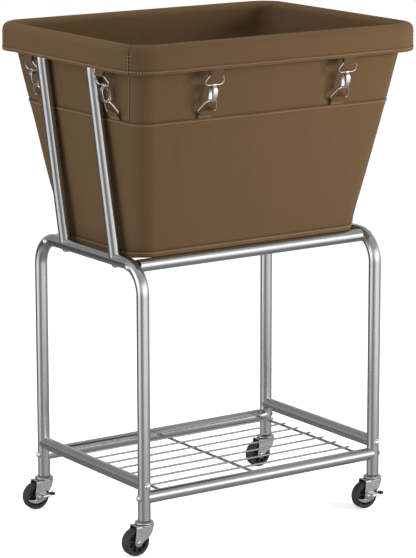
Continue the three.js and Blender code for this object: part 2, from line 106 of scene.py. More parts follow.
# ---- Materials ----
PAINTED_SHADE_COLOUR = (0.03, 0.017, 0.008, 1)     # painted shade: the dark colour painted into a seam's crease
DUST = (0.126, 0.12, 0.114, 1)
WAVE_BAND = 0.314                        # a wave texture's band in metres at scale 1
RIB = 0.003                              # canvas ribs, in metres
WEFT_SHARE = 0.45                        # the weft's spacing against the ribs'
UPRIGHT_SLUBS = (420, 30, 1)
LEVEL_SLUBS = (30, 300, 1)


def add_node(tree, kind, inputs=None, **settings):
    """A shader node with its settings, and each input set to a value or linked to an output."""
    made = tree.nodes.new("ShaderNode" + kind)
    for key, value in settings.items():
        setattr(made, key, value)
    for key, value in (inputs or {}).items():
        if isinstance(value, bpy.types.NodeSocket):
            tree.links.new(value, made.inputs[key])
        else:
            made.inputs[key].default_value = value
    return made


def new_material(name, **sockets):
    """A node material, with Principled inputs named by underscores for spaces."""
    material = bpy.data.materials.new(name)
    material.use_nodes = True
    tree = material.node_tree
    shader = tree.nodes["Principled BSDF"]
    for key, value in sockets.items():
        shader.inputs[key.replace("_", " ")].default_value = value
    return material, tree, shader


def stretched_noise(tree, place, stretch, scale, detail):
    mapped = add_node(tree, "Mapping", {"Vector": place, "Scale": stretch}).outputs[0]
    return add_node(tree, "TexNoise", {"Vector": mapped, "Scale": scale, "Detail": detail}).outputs["Fac"]


def object_noise(tree, scale, detail=4):
    """Noise in the object's own metres, so that it has one scale all over."""
    return stretched_noise(tree, add_node(tree, "TexCoord").outputs["Object"], (1, 1, 1), scale, detail)


def remap(tree, value, low, high, start=0.0, end=1.0):
    """Takes a value from start to end onto low to high, and holds it there."""
    inputs = {"Value": value, "From Min": start, "From Max": end, "To Min": low, "To Max": high}
    return add_node(tree, "MapRange", inputs).outputs["Result"]


def mix_colours(tree, factor, first, second):
    """A mix node's colours are its sockets 6 and 7, and its colour output is number 2."""
    return add_node(tree, "Mix", {0: factor, 6: first, 7: second}, data_type="RGBA").outputs[2]


def arithmetic(tree, operation, first, second):
    return add_node(tree, "Math", {0: first, 1: second}, operation=operation).outputs[0]


def bump(tree, shader, height, distance, strength=1.0):
    made = add_node(tree, "Bump", {"Height": height, "Distance": distance, "Strength": strength})
    tree.links.new(made.outputs[0], shader.inputs["Normal"])


def grey(level, warm=0.0):
    return (level * (1 + warm), level, level * (1 - warm), 1)


def plated_metal(name, colour, roughness, grain, grain_depth, dull):
    """Bare or plated metal: fine grain, faint blotches, and duller rubbed patches."""
    material, tree, shader = new_material(name, Metallic=1.0)
    blotch = object_noise(tree, 38, 5)
    rubbed_and_painted_light = remap(tree, object_noise(tree, 110, 5), 0, 1, 0.58, 0.76)
    tone = mix_colours(tree, remap(tree, blotch, 0, 0.35, 0.4, 0.75), colour, dull)
    tree.links.new(mix_colours(tree, remap(tree, rubbed_and_painted_light, 0, 0.5), tone, dull), shader.inputs["Base Color"])
    uneven = arithmetic(tree, "ADD", remap(tree, blotch, -0.03, 0.03), remap(tree, rubbed_and_painted_light, 0, 0.08))
    tree.links.new(arithmetic(tree, "ADD", uneven, roughness), shader.inputs["Roughness"])
    bump(tree, shader, object_noise(tree, grain, 3), grain_depth)
    return material


def woven_fabric(name, *tones, rib=RIB, depth=0.00025):
    """Canvas with upright ribs and finer weft, from UVs in metres, with slubs, slow fading, painted
    highlights on edges and painted shade in seam creases.

    The tones are the plain, the light and the dark colour. The cloth's painted light attribute is above 0
    where a painted highlight lightens the cloth and below 0 where painted shade darkens the crease of a seam.
    """
    colour, light, dark = ((*tone, 1) for tone in tones)
    material, tree, shader = new_material(name, Roughness=0.9, Sheen_Weight=0.03, Sheen_Roughness=0.5,
                                          Specular_IOR_Level=0.12)
    place = add_node(tree, "UVMap").outputs[0]

    def bands(direction, spacing):
        inputs = {"Vector": place, "Scale": WAVE_BAND / spacing, "Distortion": 0.5, "Detail": 1.0,
                  "Detail Scale": 4.0}
        return add_node(tree, "TexWave", inputs, bands_direction=direction).outputs["Fac"]

    ribs, weft = bands("X", rib), bands("Y", rib * WEFT_SHARE)
    slub = arithmetic(tree, "ADD", stretched_noise(tree, place, UPRIGHT_SLUBS, 1.0, 3),
                      stretched_noise(tree, place, LEVEL_SLUBS, 1.0, 3))
    base = mix_colours(tree, remap(tree, slub, 0.25, 0.75, 0.75, 1.25), dark, light)
    base = mix_colours(tree, remap(tree, object_noise(tree, 9, 5), 0.12, 0.34, 0.3, 0.7), colour, base)
    # The weave's hollows are painted darker: painted shade.
    valley = arithmetic(tree, "MULTIPLY", ribs, weft)
    base = mix_colours(tree, remap(tree, valley, 0.6, 0), base, dark)
    # Painted shade darkens seam creases, then a painted highlight lightens edges and the base binding.
    painted_light_fac = add_node(tree, "Attribute", attribute_name="wear").outputs["Fac"]
    base = mix_colours(tree, remap(tree, painted_light_fac, 1, 0, -1, 0), base, PAINTED_SHADE_COLOUR)
    tree.links.new(mix_colours(tree, remap(tree, painted_light_fac, 0, 1), base, light), shader.inputs["Base Color"])
    height = arithmetic(tree, "ADD", ribs, remap(tree, weft, 0, 0.4))
    bump(tree, shader, arithmetic(tree, "ADD", height, remap(tree, slub, 0, 0.4, 0.6, 1.4)), depth, 0.5)
    return material


def moulded_plastic(name, level, roughness):
    """Black plastic or rubber with a fine grain and a little dust."""
    material, tree, shader = new_material(name)
    dust = remap(tree, object_noise(tree, 240, 5), 0, 0.25, 0.5, 0.8)
    tree.links.new(mix_colours(tree, dust, grey(level), DUST), shader.inputs["Base Color"])
    uneven = remap(tree, object_noise(tree, 90, 4), roughness - 0.08, roughness + 0.1)
    tree.links.new(uneven, shader.inputs["Roughness"])
    bump(tree, shader, object_noise(tree, 2600, 2), 0.00006)
    return material


TUBE_METAL = plated_metal("satin_tube", grey(0.61, -0.014), 0.19, 700, 0.000003, grey(0.53, -0.014))
WIRE_METAL = plated_metal("shelf_wire", grey(0.5), 0.26, 1400, 0.000004, grey(0.38))
ZINC = plated_metal("zinc_plate", grey(0.62), 0.24, 1000, 0.00005, grey(0.34, 0.01))
NICKEL = plated_metal("nickel", grey(0.84, 0.02), 0.12, 1600, 0.000004, grey(0.66, 0.03))
CANVAS = woven_fabric("brown_canvas", (0.128, 0.078, 0.0385), (0.17, 0.107, 0.055), (0.084, 0.048, 0.022))
WEBBING = woven_fabric("brown_webbing", (0.122, 0.073, 0.039), (0.16, 0.1, 0.056), (0.075, 0.042, 0.02),
                       rib=0.0016, depth=0.0004)
THREAD = woven_fabric("thread", (0.35, 0.255, 0.15), (0.44, 0.33, 0.2), (0.25, 0.175, 0.1), rib=0.0009)
BOARD_COVER = woven_fabric("board_cover", (0.115, 0.072, 0.038), (0.15, 0.1, 0.055), (0.07, 0.042, 0.022))
RUBBER = moulded_plastic("black_tread", 0.022, 0.55)
HUB_PLASTIC = moulded_plastic("black_hub", 0.03, 0.36)
TOE_PLASTIC = moulded_plastic("toe_cap", 0.018, 0.3)


# ---- Mesh helpers: a part is (vertices in millimetres, faces) ----
CORNER_SIGNS = ((1, 1), (-1, 1), (-1, -1), (1, -1))
ALONG_X = Matrix.Rotation(math.radians(90), 4, "Y")


def add_mesh(name, part, material, uvs=None, wear=None):
    """A mesh object from a part. uvs holds one (u, v) per vertex, in metres."""
    mesh = bpy.data.meshes.new(name)
    mesh.from_pydata((np.asarray(part[0], float) * MM).tolist(), [], [list(face) for face in part[1]])
    mesh.materials.append(material)
    mesh.validate()
    mesh.shade_smooth()
    layer = mesh.uv_layers.new(name="UVMap")
    if uvs is None:
        uvs = unwrap_by_size(mesh)
    corner_vertices = np.zeros(len(mesh.loops), np.int32)
    mesh.loops.foreach_get("vertex_index", corner_vertices)
    layer.data.foreach_set("uv", np.asarray(uvs, np.float32)[corner_vertices].ravel())
    # The canvas's painted light and shade, one value per point.
    if wear is not None:
        attribute = mesh.attributes.new("wear", "FLOAT", "POINT")
        attribute.data.foreach_set("value", np.asarray(wear, np.float32))
    made = bpy.data.objects.new(name, mesh)
    bpy.context.scene.collection.objects.link(made)
    return made


def unwrap_by_size(mesh):
    """Metre UVs for small pieces: one direction round, the other up."""
    co = np.array([vertex.co for vertex in mesh.vertices]).reshape(-1, 3)
    return np.stack([co[:, 0] + co[:, 1] * 0.7, co[:, 2] + co[:, 1] * 0.3], axis=1)


def place_piece(piece, body="root", replaced=()):
    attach(piece, body)
    if replaced:
        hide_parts(*replaced)


def fix_normals(piece):
    """Faces turned outwards, so that shading and exports agree."""
    work = bmesh.new()
    work.from_mesh(piece.data)
    bmesh.ops.recalc_face_normals(work, faces=work.faces)
    work.to_mesh(piece.data)
    work.free()


def finish_piece(name, part, material, body="root", slot="tube", replaced=(), smooth_angle=35, **extra):
    """One part as a placed piece: edges sharper than smooth_angle degrees stay crisp."""
    piece = add_mesh(name, part, material, **extra)
    fix_normals(piece)
    piece.data.set_sharp_from_angle(angle=math.radians(smooth_angle))
    place_piece(piece, body, replaced)


def bevelled(piece, width, segments=2, solid=None):
    """Rounds a piece's edges, after giving a single sheet its thickness."""
    if solid:
        thick = piece.modifiers.new("Thickness", "SOLIDIFY")
        thick.thickness = solid * MM
        thick.offset = 0
    rounded = piece.modifiers.new("Rounded edges", "BEVEL")
    rounded.width = width * MM
    rounded.segments = segments
    rounded.limit_method = "ANGLE"
    rounded.angle_limit = math.radians(40)
    graph = bpy.context.evaluated_depsgraph_get()
    mesh = bpy.data.meshes.new_from_object(piece.evaluated_get(graph))
    piece.modifiers.clear()
    piece.data = mesh
    mesh.set_sharp_from_angle(angle=math.radians(30))


def joined(parts):
    """Several parts as one."""
    vertices, faces, offset = [], [], 0
    for part_vertices, part_faces in parts:
        vertices.append(np.asarray(part_vertices, float))
        faces.extend([[i + offset for i in face] for face in part_faces])
        offset += len(part_vertices)
    return np.concatenate(vertices), faces


def moved(part, matrix):
    """A part carried by a matrix whose translation is in millimetres."""
    vertices, faces = part
    grid = np.c_[np.asarray(vertices, float), np.ones(len(vertices))]
    return (grid @ np.array(matrix).T)[:, :3], faces


def grid_faces(rows, columns, wrap_rows=False, wrap_columns=True):
    """Quads between rows of points that were laid out one row after another."""
    faces = []
    for row in range(rows if wrap_rows else rows - 1):
        low, high = row * columns, (row + 1) % rows * columns
        for column in range(columns if wrap_columns else columns - 1):
            after = (column + 1) % columns
            faces.append((low + column, low + after, high + after, high + column))
    return faces


def end_caps(rows, columns):
    """The faces that close a tube of rows at both ends."""
    return [tuple(range(columns))[::-1], tuple(range((rows - 1) * columns, rows * columns))]


def bent_route(corners, radius, steps):
    """Points along straight runs joined by round bends at the inner corners."""
    corners = [np.array(corner, float) for corner in corners]
    points = [corners[0]]
    for before, corner, after in zip(corners, corners[1:], corners[2:]):
        along = (corner - before) / np.linalg.norm(corner - before)
        leaving = (after - corner) / np.linalg.norm(after - corner)
        angle = math.acos(np.clip(along @ leaving, -1, 1))
        side = leaving - along * (along @ leaving)
        side /= np.linalg.norm(side)
        start = corner - along * radius * math.tan(angle / 2)
        for turned in np.linspace(0, angle, steps + 1):
            points.append(start + along * radius * math.sin(turned) + side * radius * (1 - math.cos(turned)))
    points.append(corners[-1])
    return np.array(points)


def sweep(points, section, closed=False, up=(0, 0, 1), capped=True):
    """A section, or one section per point, carried along points without twist.

    The section's first axis starts square to the route and to up.
    """
    points = np.asarray(points, float)
    count = len(points)
    if closed:
        tangents = np.roll(points, -1, axis=0) - np.roll(points, 1, axis=0)
    else:
        tangents = np.gradient(points, axis=0)
        tangents[0] = points[1] - points[0]
        tangents[-1] = points[-1] - points[-2]
    tangents /= np.linalg.norm(tangents, axis=1)[:, None]
    section = np.asarray(section, float)
    sections = section if section.ndim == 3 else np.repeat(section[None], count, axis=0)
    side = np.cross(tangents[0], np.array(up, float))
    if np.linalg.norm(side) < 1e-6:
        side = np.cross(tangents[0], (0, 1, 0))
    vertices = []
    for point, tangent, outline in zip(points, tangents, sections):
        side = side - tangent * (side @ tangent)
        side /= np.linalg.norm(side)
        rise = np.cross(side, tangent)
        vertices.append(point + outline[:, :1] * side + outline[:, 1:] * rise)
    width = sections.shape[1]
    faces = grid_faces(count, width, wrap_rows=closed)
    if capped and not closed:
        faces += end_caps(count, width)
    return np.concatenate(vertices), faces


def circle(radius, sides):
    angles = np.linspace(0, 2 * math.pi, sides, endpoint=False)
    return np.stack([radius * np.cos(angles), radius * np.sin(angles)], axis=1)


def rounded_box_section(width, thickness, steps, corner=None):
    """A flat strip's section, width along the first axis, with rounded edges."""
    corner = min(width, thickness) * 0.45 if corner is None else corner
    points = []
    for quarter, (sx, sy) in enumerate(CORNER_SIGNS):
        for angle in np.linspace(quarter, quarter + 1, steps + 1) * math.pi / 2:
            points.append((sx * (width / 2 - corner) + corner * math.cos(angle),
                           sy * (thickness / 2 - corner) + corner * math.sin(angle)))
    return np.array(points)


def lathe(profile, segments=48):
    """A profile of (radius, height) turned about Z. It starts and ends on the axis, or closes on itself."""
    profile = np.asarray(profile, float)
    closed = profile[0][0] > 1e-6
    rings = profile if closed else profile[1:-1]
    vertices = np.concatenate([np.c_[circle(radius, segments), np.full(segments, height)]
                               for radius, height in rings])
    faces = grid_faces(len(rings), segments, wrap_rows=closed)
    if not closed:
        first, last = len(vertices), len(vertices) + 1
        top = (len(rings) - 1) * segments
        vertices = np.concatenate([vertices, [(0, 0, profile[0][1])], [(0, 0, profile[-1][1])]])
        for i in range(segments):
            after = (i + 1) % segments
            faces.append((first, after, i))
            faces.append((last, top + i, top + after))
    return vertices, faces


def extruded(outline, low, high, axis=0, taper=1.0):
    """An outline in the other two axes with its thickness along one axis, from low to high."""
    outline = np.asarray(outline, float)
    ends = [np.insert(outline * scale, axis, place, axis=1) for place, scale in ((low, 1.0), (high, taper))]
    return np.concatenate(ends), grid_faces(2, len(outline)) + end_caps(2, len(outline))


def smooth_profile(points, rounds=2):
    """Chaikin's corner cutting, with the ends kept."""
    points = np.asarray(points, float)
    for _ in range(rounds):
        near = points[:-1] * 0.75 + points[1:] * 0.25
        far = points[:-1] * 0.25 + points[1:] * 0.75
        between = np.stack([near, far], axis=1).reshape(-1, points.shape[1])
        points = np.concatenate([points[:1], between, points[-1:]])
    return points


def resampled(points, spacing):
    """The same line with points about a spacing apart."""
    points = np.array(points, float)
    distance = run_lengths(points)
    marks = np.linspace(0, distance[-1], max(2, int(distance[-1] / spacing) + 1))
    return np.stack([np.interp(marks, distance, column) for column in points.T], axis=1)


def run_lengths(points):
    """Each point's distance along the line."""
    return np.concatenate([[0], np.cumsum(np.linalg.norm(np.diff(points, axis=0), axis=1))])


def quadratic(start, control, end, count=10):
    t = np.linspace(0, 1, count)[:, None]
    return (1 - t) ** 2 * np.array(start) + 2 * t * (1 - t) * np.array(control) + t ** 2 * np.array(end)


def spread(start, end, count):
    return list(np.linspace(start, end, count))


def along_y(place=(0, 0, 0), flip=False):
    """Turns a lathe's Z axis to +Y, or to -Y when flipped, at a place."""
    return Matrix.Translation(place) @ Matrix.Rotation(math.radians(90 if flip else -90), 4, "X")


# ---- Tube frame ----
def hollow_run(points, end_cuts=(None, None)):
    """A tube along points, open at both ends. An end cut moves one end ring's points on their line."""
    points = np.asarray(points, float)
    vertices, _ = sweep(points, circle(TUBE_R, TUBE_SIDES), capped=False)
    rings = vertices.reshape(len(points), TUBE_SIDES, 3)
    ends = []
    for ring, inner_point, end_cut in zip((rings[0], rings[-1]), (points[1], points[-2]), end_cuts):
        centre = ring.mean(axis=0)
        inward = (inner_point - centre) / np.linalg.norm(inner_point - centre)
        outer = end_cut(ring, inward) if end_cut else ring
        narrow = centre + (ring - centre) * (1 - TUBE_WALL / TUBE_R)
        inner = narrow + ((outer - ring) @ inward)[:, None] * inward
        ends.append((outer, inner, narrow + inward * OPEN_DEPTH))
    first, last = ends
    stacked = [*first[::-1], *rings[1:-1], *last]
    return np.concatenate(stacked), grid_faces(len(stacked), TUBE_SIDES) + end_caps(len(stacked), TUBE_SIDES)


def cope(axis_point, axis_direction):
    """An end cut that stops on the surface of a crossing tube."""
    axis_point = np.array(axis_point, float)
    axis_direction = np.array(axis_direction, float)

    def end_cut(ring, inward):
        across = np.cross(axis_direction, inward)
        across /= np.linalg.norm(across)
        off_axis = (ring - axis_point) @ across
        reach = np.sqrt(np.maximum((TUBE_R + COPE_GAP) ** 2 - off_axis ** 2, (0.35 * TUBE_R) ** 2))
        travel = (ring - axis_point) @ inward
        square = np.linalg.norm(inward - axis_direction * (inward @ axis_direction))
        return ring + ((reach - travel * square) / square)[:, None] * inward

    return end_cut


def add_rail(name, start, end, crossing, crossing_z=0.0):
    """A straight tube between two tubes that run in the crossing direction."""
    cuts = [cope((x, y, crossing_z), crossing) for x, y, _ in (start, end)]
    run = hollow_run([start, (np.array(start) + end) / 2, end], cuts)
    finish_piece(name + "_tube", run, TUBE_METAL, replaced=[name + "_rail"])


def add_tube_frame():
    """Two end frames bent from one tube each, the four lower rails and the two top rails."""
    for side_name, side in SIDES.items():
        x = side * LEG_X
        name = side_name + "_end_frame"
        corners = [(x, y, z) for y, z in ((-LEG_Y, LEG_BOTTOM), (-LEG_Y, FRAME_TOP),
                                          (LEG_Y, FRAME_TOP), (LEG_Y, LEG_BOTTOM))]
        run = hollow_run(bent_route(corners, FRAME_BEND_R, 18))
        finish_piece(name + "_tube", run, TUBE_METAL, replaced=[name])
        add_rail(side_name + "_lower", (x, -LEG_Y, LOWER_SIDE_Z), (x, LEG_Y, LOWER_SIDE_Z), (0, 0, 1))
        bpy.data.objects[side_name + "_rim_tube"].data.materials[0] = TUBE_METAL
    for front_name, front in FRONTS.items():
        y = front * LEG_Y
        add_rail(front_name + "_lower", (-LEG_X, y, LOWER_LONG_Z), (LEG_X, y, LOWER_LONG_Z), (0, 0, 1))
        y = front * TOP_RAIL_Y
        add_rail(front_name + "_top", (-LEG_X, y, TOP_RAIL_Z), (LEG_X, y, TOP_RAIL_Z), (0, 1, 0), FRAME_TOP)


def add_posts():
    """Four leaning tubes from the end frames' tops to the rim."""
    knee_z = FRAME_TOP + TUBE_R + (RIM_X - LEG_X) / POST_LEAN
    for side_name, side in SIDES.items():
        foot_x, head_x = side * LEG_X, side * RIM_X
        for front_name, front in FRONTS.items():
            y = front * POST_Y
            corners = [(foot_x, y, FRAME_TOP + 3), (head_x, y, knee_z), (head_x, y, RIM_Z - 3)]
            cuts = [cope((foot_x, y, FRAME_TOP), (0, 1, 0)), cope((head_x, y, RIM_Z), (0, 1, 0))]
            name = f"{front_name}_{side_name}_post"
            run = hollow_run(bent_route(corners, POST_BEND_R, 10), cuts)
            finish_piece(name + "_tube", run, TUBE_METAL, replaced=[name])


def bolt_head(place, direction):
    """A domed bolt head on a thin washer, facing along direction."""
    profile = [(0, -0.6), (6.4, -0.6), (6.8, 0.0), (6.4, 0.6), (5.6, 0.7), (5.5, 1.2)]
    dome = [(5.5 * math.cos(angle), 1.2 + 2.7 * math.sin(angle)) for angle in np.linspace(0, math.pi / 2, 8)]
    turn = Vector(direction).to_track_quat("Z", "Y").to_matrix().to_4x4()
    return moved(lathe(profile + dome[1:], 28), Matrix.Translation(place) @ turn)


def add_frame_bolts():
    """Bolt heads where the rails and posts are fixed to the end frames."""
    bolts = []
    proud = TUBE_R + 0.1
    for side in SIDES.values():
        for front in FRONTS.values():
            x, y = side * LEG_X, front * LEG_Y
            face_x = side * (LEG_X + proud)
            bolts.append(bolt_head((x, front * (LEG_Y + proud), LOWER_SIDE_Z), (0, front, 0)))
            bolts.append(bolt_head((face_x, y, LOWER_LONG_Z), (side, 0, 0)))
            bolts.append(bolt_head((face_x, front * TOP_RAIL_Y, TOP_RAIL_Z), (side, 0, 0)))
            bolts.append(bolt_head((x, front * POST_Y, FRAME_TOP - proud), (0, 0, -1)))
    finish_piece("frame_bolts", joined(bolts), NICKEL, slot="nickel")


def rod(start, end, radius, sides=16):
    """A straight wire with slightly rounded ends."""
    start, end = np.array(start, float), np.array(end, float)
    ease = (end - start) / np.linalg.norm(end - start) * radius * 0.35
    points = [start, start + ease, end - ease, end]
    return sweep(points, np.array([circle(radius * scale, sides) for scale in (0.72, 1, 1, 0.72)]))


def weld(place, radii):
    """The small bead where two wires or a wire and a tube are welded."""
    angles = np.linspace(-math.pi / 2, math.pi / 2, 7)
    profile = [(math.cos(angle), math.sin(angle)) for angle in angles]
    profile[0], profile[-1] = (0, -1), (0, 1)
    return moved(lathe(profile, 12), Matrix.Translation(place) @ Matrix.Diagonal((*radii, 1)))


def add_shelf():
    """Eight thin wires resistance-welded on three thick ones, which end on the long lower rails."""
    low, high = box_mm("wire_shelf")
    long_r, cross_r = 1.75, 2.5
    long_z, cross_z = high[2] - long_r, low[2] + cross_r
    cross_y = LEG_Y - math.sqrt(TUBE_R ** 2 - (cross_z - LOWER_LONG_Z) ** 2) + 0.4
    long_ys = np.linspace(-3.5, 3.5, 8) * SHELF_WIRE_GAP
    parts = [rod((low[0], y, long_z), (high[0], y, long_z), long_r) for y in long_ys]
    for x in (low[0] + 6, -15, high[0] - 6):
        parts.append(rod((x, -cross_y, cross_z), (x, cross_y, cross_z), cross_r))
        parts += [weld((x, y, (long_z + cross_z) / 2 + 0.4), (1.9, 1.7, 0.9)) for y in long_ys]
        parts += [weld((x, side * (cross_y - 0.5), cross_z - 0.4), (3.6, 2.2, 3.2)) for side in (-1, 1)]
    finish_piece("shelf_wires", joined(parts), WIRE_METAL, slot="wire", replaced=["wire_shelf"])


# ---- Canvas bag ----
# Every section of the bag is a rounded rectangle with the same columns, so the shell is one grid.
# A column is (quarter, whether it is on the corner's arc, how far along the arc or the side after it).
LONG_SIDES = (0, 2)              # quarters whose side is a long one
CORNER_STEPS = 14
LONG_STEPS = 116
SHORT_STEPS = 82
CUFF_SEAM_T = 0.32               # the cuff's upright seams, along a corner's arc from its short side
CUFF_ROW_T = 0.03                # and the row of stitches on each side of it
SIDE_SEAM_T = 0.004              # the wall's upright seams, along a short side from either end
SIDE_ROW_T = 0.008               # and the row of stitches beside it
SAME = 1e-4                      # places along a side that are closer than this are one place
LENGTH_COLUMN = 40               # an upright column on a long side, which gives the cloth's length
# How far the cloth stands out, in millimetres.
BULGE = 3.4
BULGE_EVEN = 0.65                # the share of the bulge that every column has
END_SAG = 4.5
SEAM_STEP = 1.15                 # the lower wall laps over the upper one
SEAM_GROOVE = 0.35
BINDING_STEP = 1.25
UPRIGHT_GROOVE = 1.5
UPRIGHT_RIDGE = 0.45
HEM_STEP = 0.45
CUFF_GROOVE = 1.3
CUFF_RIDGE = 0.5
# Painted light on the canvas: a painted highlight on an edge and on the base binding, painted shade in a
# seam's crease.
EDGE_PAINTED_HIGHLIGHT = 0.1
BINDING_PAINTED_HIGHLIGHT = 0.4
SEAM_PAINTED_SHADE = 0.8
BINDING_PAINTED_SHADE = 0.7
HEM_PAINTED_SHADE = 0.3
UPRIGHT_PAINTED_SHADE = 0.9


def cuff_seam(quarter):
    """How far along a quarter's arc the cuff's seam is."""
    return CUFF_SEAM_T if quarter in LONG_SIDES else 1 - CUFF_SEAM_T


def off_cuff_seam(column, off=0.0):
    """Whether a column is that far along its arc from the cuff's seam."""
    quarter, on_arc, t = column
    return on_arc and abs(abs(t - cuff_seam(quarter)) - off) < SAME


def on_side_upright(column, place):
    """Whether a column is at a place along a short side, from either end."""
    quarter, on_arc, t = column
    return quarter not in LONG_SIDES and not on_arc and abs(min(t, 1 - t) - place) < SAME


def column_places():
    """The columns in order, closer together beside the seams."""
    arc = set(np.round(np.linspace(0, 1, CORNER_STEPS + 1)[:-1], 4))
    columns = []
    for quarter in range(4):
        seam = cuff_seam(quarter)
        near_seam = {round(seam + step, 4) for step in (-CUFF_ROW_T, -0.012, 0, 0.012, CUFF_ROW_T)}
        for t in sorted({t for t in arc if abs(t - seam) > 0.035} | near_seam):
            columns.append((quarter, True, t))
        count = LONG_STEPS if quarter in LONG_SIDES else SHORT_STEPS
        places = set(np.round(np.linspace(0, 1, count + 1)[:-1], 5))
        if quarter not in LONG_SIDES:
            places |= {SIDE_SEAM_T, SIDE_ROW_T, 1 - SIDE_ROW_T, 1 - SIDE_SEAM_T}
        columns += [(quarter, False, t) for t in sorted(places)]
    return columns


COLUMNS = column_places()
COLUMN_COUNT = len(COLUMNS)


def rounded_loop(half_x, half_y, corner):
    """One section's points, anticlockwise from the back end of the right side."""
    loop = []
    centres = np.array(CORNER_SIGNS) * (half_x - corner, half_y - corner)
    for quarter, on_arc, t in COLUMNS:
        angle = (quarter + (t if on_arc else 1)) * math.pi / 2
        centre = centres[quarter]
        if not on_arc:
            centre = centre + (centres[(quarter + 1) % 4] - centre) * t
        loop.append(centre + corner * np.array((math.cos(angle), math.sin(angle))))
    return np.array(loop)


def bag_size(z, inset=0.0):
    """Half sizes and corner radius of the tapered wall at a height."""
    up = (z - BAG_BOTTOM) / (BAG_SHOULDER_Z - BAG_BOTTOM)
    half_x, half_y = (low + (high - low) * up for low, high in zip(BAG_BOTTOM_HALF, BAG_SHOULDER_HALF))
    corner = BAG_BOTTOM_CORNER + (RIM_CORNER_R - TUBE_R - BAG_BOTTOM_CORNER) * up
    return half_x - inset, half_y - inset, corner - inset


def rim_size(offset):
    """Half sizes and corner radius at a distance outside the rim tube's middle line."""
    return RIM_X + offset, RIM_Y + offset, RIM_CORNER_R + offset


def fold_rows(radius, steps, label):
    """Over the rim tube from the inner side to the outer side."""
    angles = np.linspace(math.pi, 0, steps + 1)
    return [(rim_size(radius * math.cos(angle)), RIM_Z + radius * math.sin(angle), label) for angle in angles]


def blend_rows(first, last, label, count=7):
    """Rows between two sections, leaving and arriving smoothly."""
    made = []
    for t in np.linspace(0, 1, count + 2)[1:-1]:
        eased = t * t * (3 - 2 * t) * 0.4 + t * 0.6
        size = tuple(a + (b - a) * eased for a, b in zip(first[0], last[0]))
        made.append((size, first[1] + (last[1] - first[1]) * t, label))
    return made


def bag_rows():
    """The shell's rows: (size, height, label), from the floor's underside round the cuff and back inside."""
    outer_heights = spread(BAG_BOTTOM + 5, BASE_LINE_Z - 1, 4) + [BASE_LINE_Z, BASE_LINE_Z + 1.2]
    outer_heights += spread(BASE_LINE_Z + 5, SEAM_Z - 9, 44)
    outer_heights += [SEAM_Z + step for step in (-5.5, -3.5, -2, -0.9, -0.2, 0.3, 1.4)]
    outer_heights += spread(SEAM_Z + 5, BAG_SHOULDER_Z, 18)
    cuff_heights = spread(CUFF_BOTTOM + 1, HEM_LINE_Z + 3, 5) + spread(HEM_LINE_Z + 6, RIM_Z - 2, 7)
    rows = [(bag_size(BAG_BOTTOM, inset), BAG_BOTTOM, "floor") for inset in (90, 60, 34, 12, 5, 2)]
    rows.append((bag_size(BAG_BOTTOM + 1.6, 0.3), BAG_BOTTOM + 1.6, "outer"))
    rows += [(bag_size(z), z, "outer") for z in outer_heights]
    rows += blend_rows(rows[-1], (rim_size(-FOLD_R), RIM_Z), "shoulder")
    rows += fold_rows(FOLD_R, 12, "lining")
    rows += [(rim_size(FOLD_R), z, "lining") for z in spread(RIM_Z - 6, CUFF_BOTTOM + 1.5, 6)]
    rows.append((rim_size(FOLD_R + CLOTH * 0.5), CUFF_BOTTOM, "hem_edge"))
    rows += [(rim_size(FOLD_R + CLOTH), z, "cuff") for z in cuff_heights]
    rows += fold_rows(FOLD_R + CLOTH, 16, "cuff_fold")[::-1]
    inside_top = (bag_size(BAG_SHOULDER_Z, BAG_WALL), BAG_SHOULDER_Z, "inner")
    rows += blend_rows(rows[-1], inside_top, "inner") + [inside_top]
    rows += [(bag_size(z, BAG_WALL), z, "inner") for z in spread(BAG_SHOULDER_Z - 9, BAG_BOTTOM + 8, 38)]
    rows += [(bag_size(BAG_BOTTOM, BAG_WALL + inset), BAG_BOTTOM + height, "inner_floor")
             for inset, height in ((1, 4), (5, 2.1), (34, 2.1), (60, 2.1), (90, 2.1))]
    return rows


def wander(*place):
    """Smooth noise, about -1 to 1."""
    return noise.noise(Vector(place))


def bell(distance, width):
    return math.exp(-(distance / width) ** 2)


def step_up(value, start, end):
    t = min(max((value - start) / (end - start), 0), 1)
    return t * t * (3 - 2 * t)


def wall_bulge(z, share, quarter=0):
    """The wall is a little rounder than a straight taper, less so on the short sides, beside the posts."""
    up = min(max((z - BAG_BOTTOM) / (CUFF_BOTTOM - BAG_BOTTOM), 0), 1)
    most = BULGE * BULGE_EVEN
    most += BULGE * (1 - BULGE_EVEN) * share if quarter in LONG_SIDES else -0.8 * share
    return most * math.sin(math.pi * up) ** 1.2


def end_sag(x, y, z):
    """The bag's floor hangs a little between the rails at both ends, where nothing carries it."""
    between_rails = 1 - step_up(abs(y), 96, 140)
    near_end = step_up(abs(x), 170, 240)
    return -END_SAG * between_rails * near_end * (1 - step_up(z, BAG_BOTTOM + 6, BAG_BOTTOM + 90))


def soft_folds(x, y, z):
    """Slow dents, upright drag lines and small waves in hanging canvas."""
    slow = wander(x * 0.0065, y * 0.0065, z * 0.008)
    drag = wander(x * 0.021, y * 0.021, z * 0.0045 + 11)
    return 1.5 * slow + 0.75 * drag + 0.16 * wander(x * 0.055, y * 0.055, z * 0.03 + 23)


def seam_pucker(x, y, distance, reach=14):
    """Stitches draw the cloth into small ripples beside a seam."""
    return 0.42 * math.exp(-abs(distance) / reach * 2.2) * wander(x * 0.11, y * 0.11, 5.5)


def seam_wave(x, y):
    """The seam was sewn by hand and eye: it wanders a little up and down."""
    return 1.3 * wander(x * 0.009, y * 0.009, 3.1) + 0.35 * wander(x * 0.05, y * 0.05, 7.7)


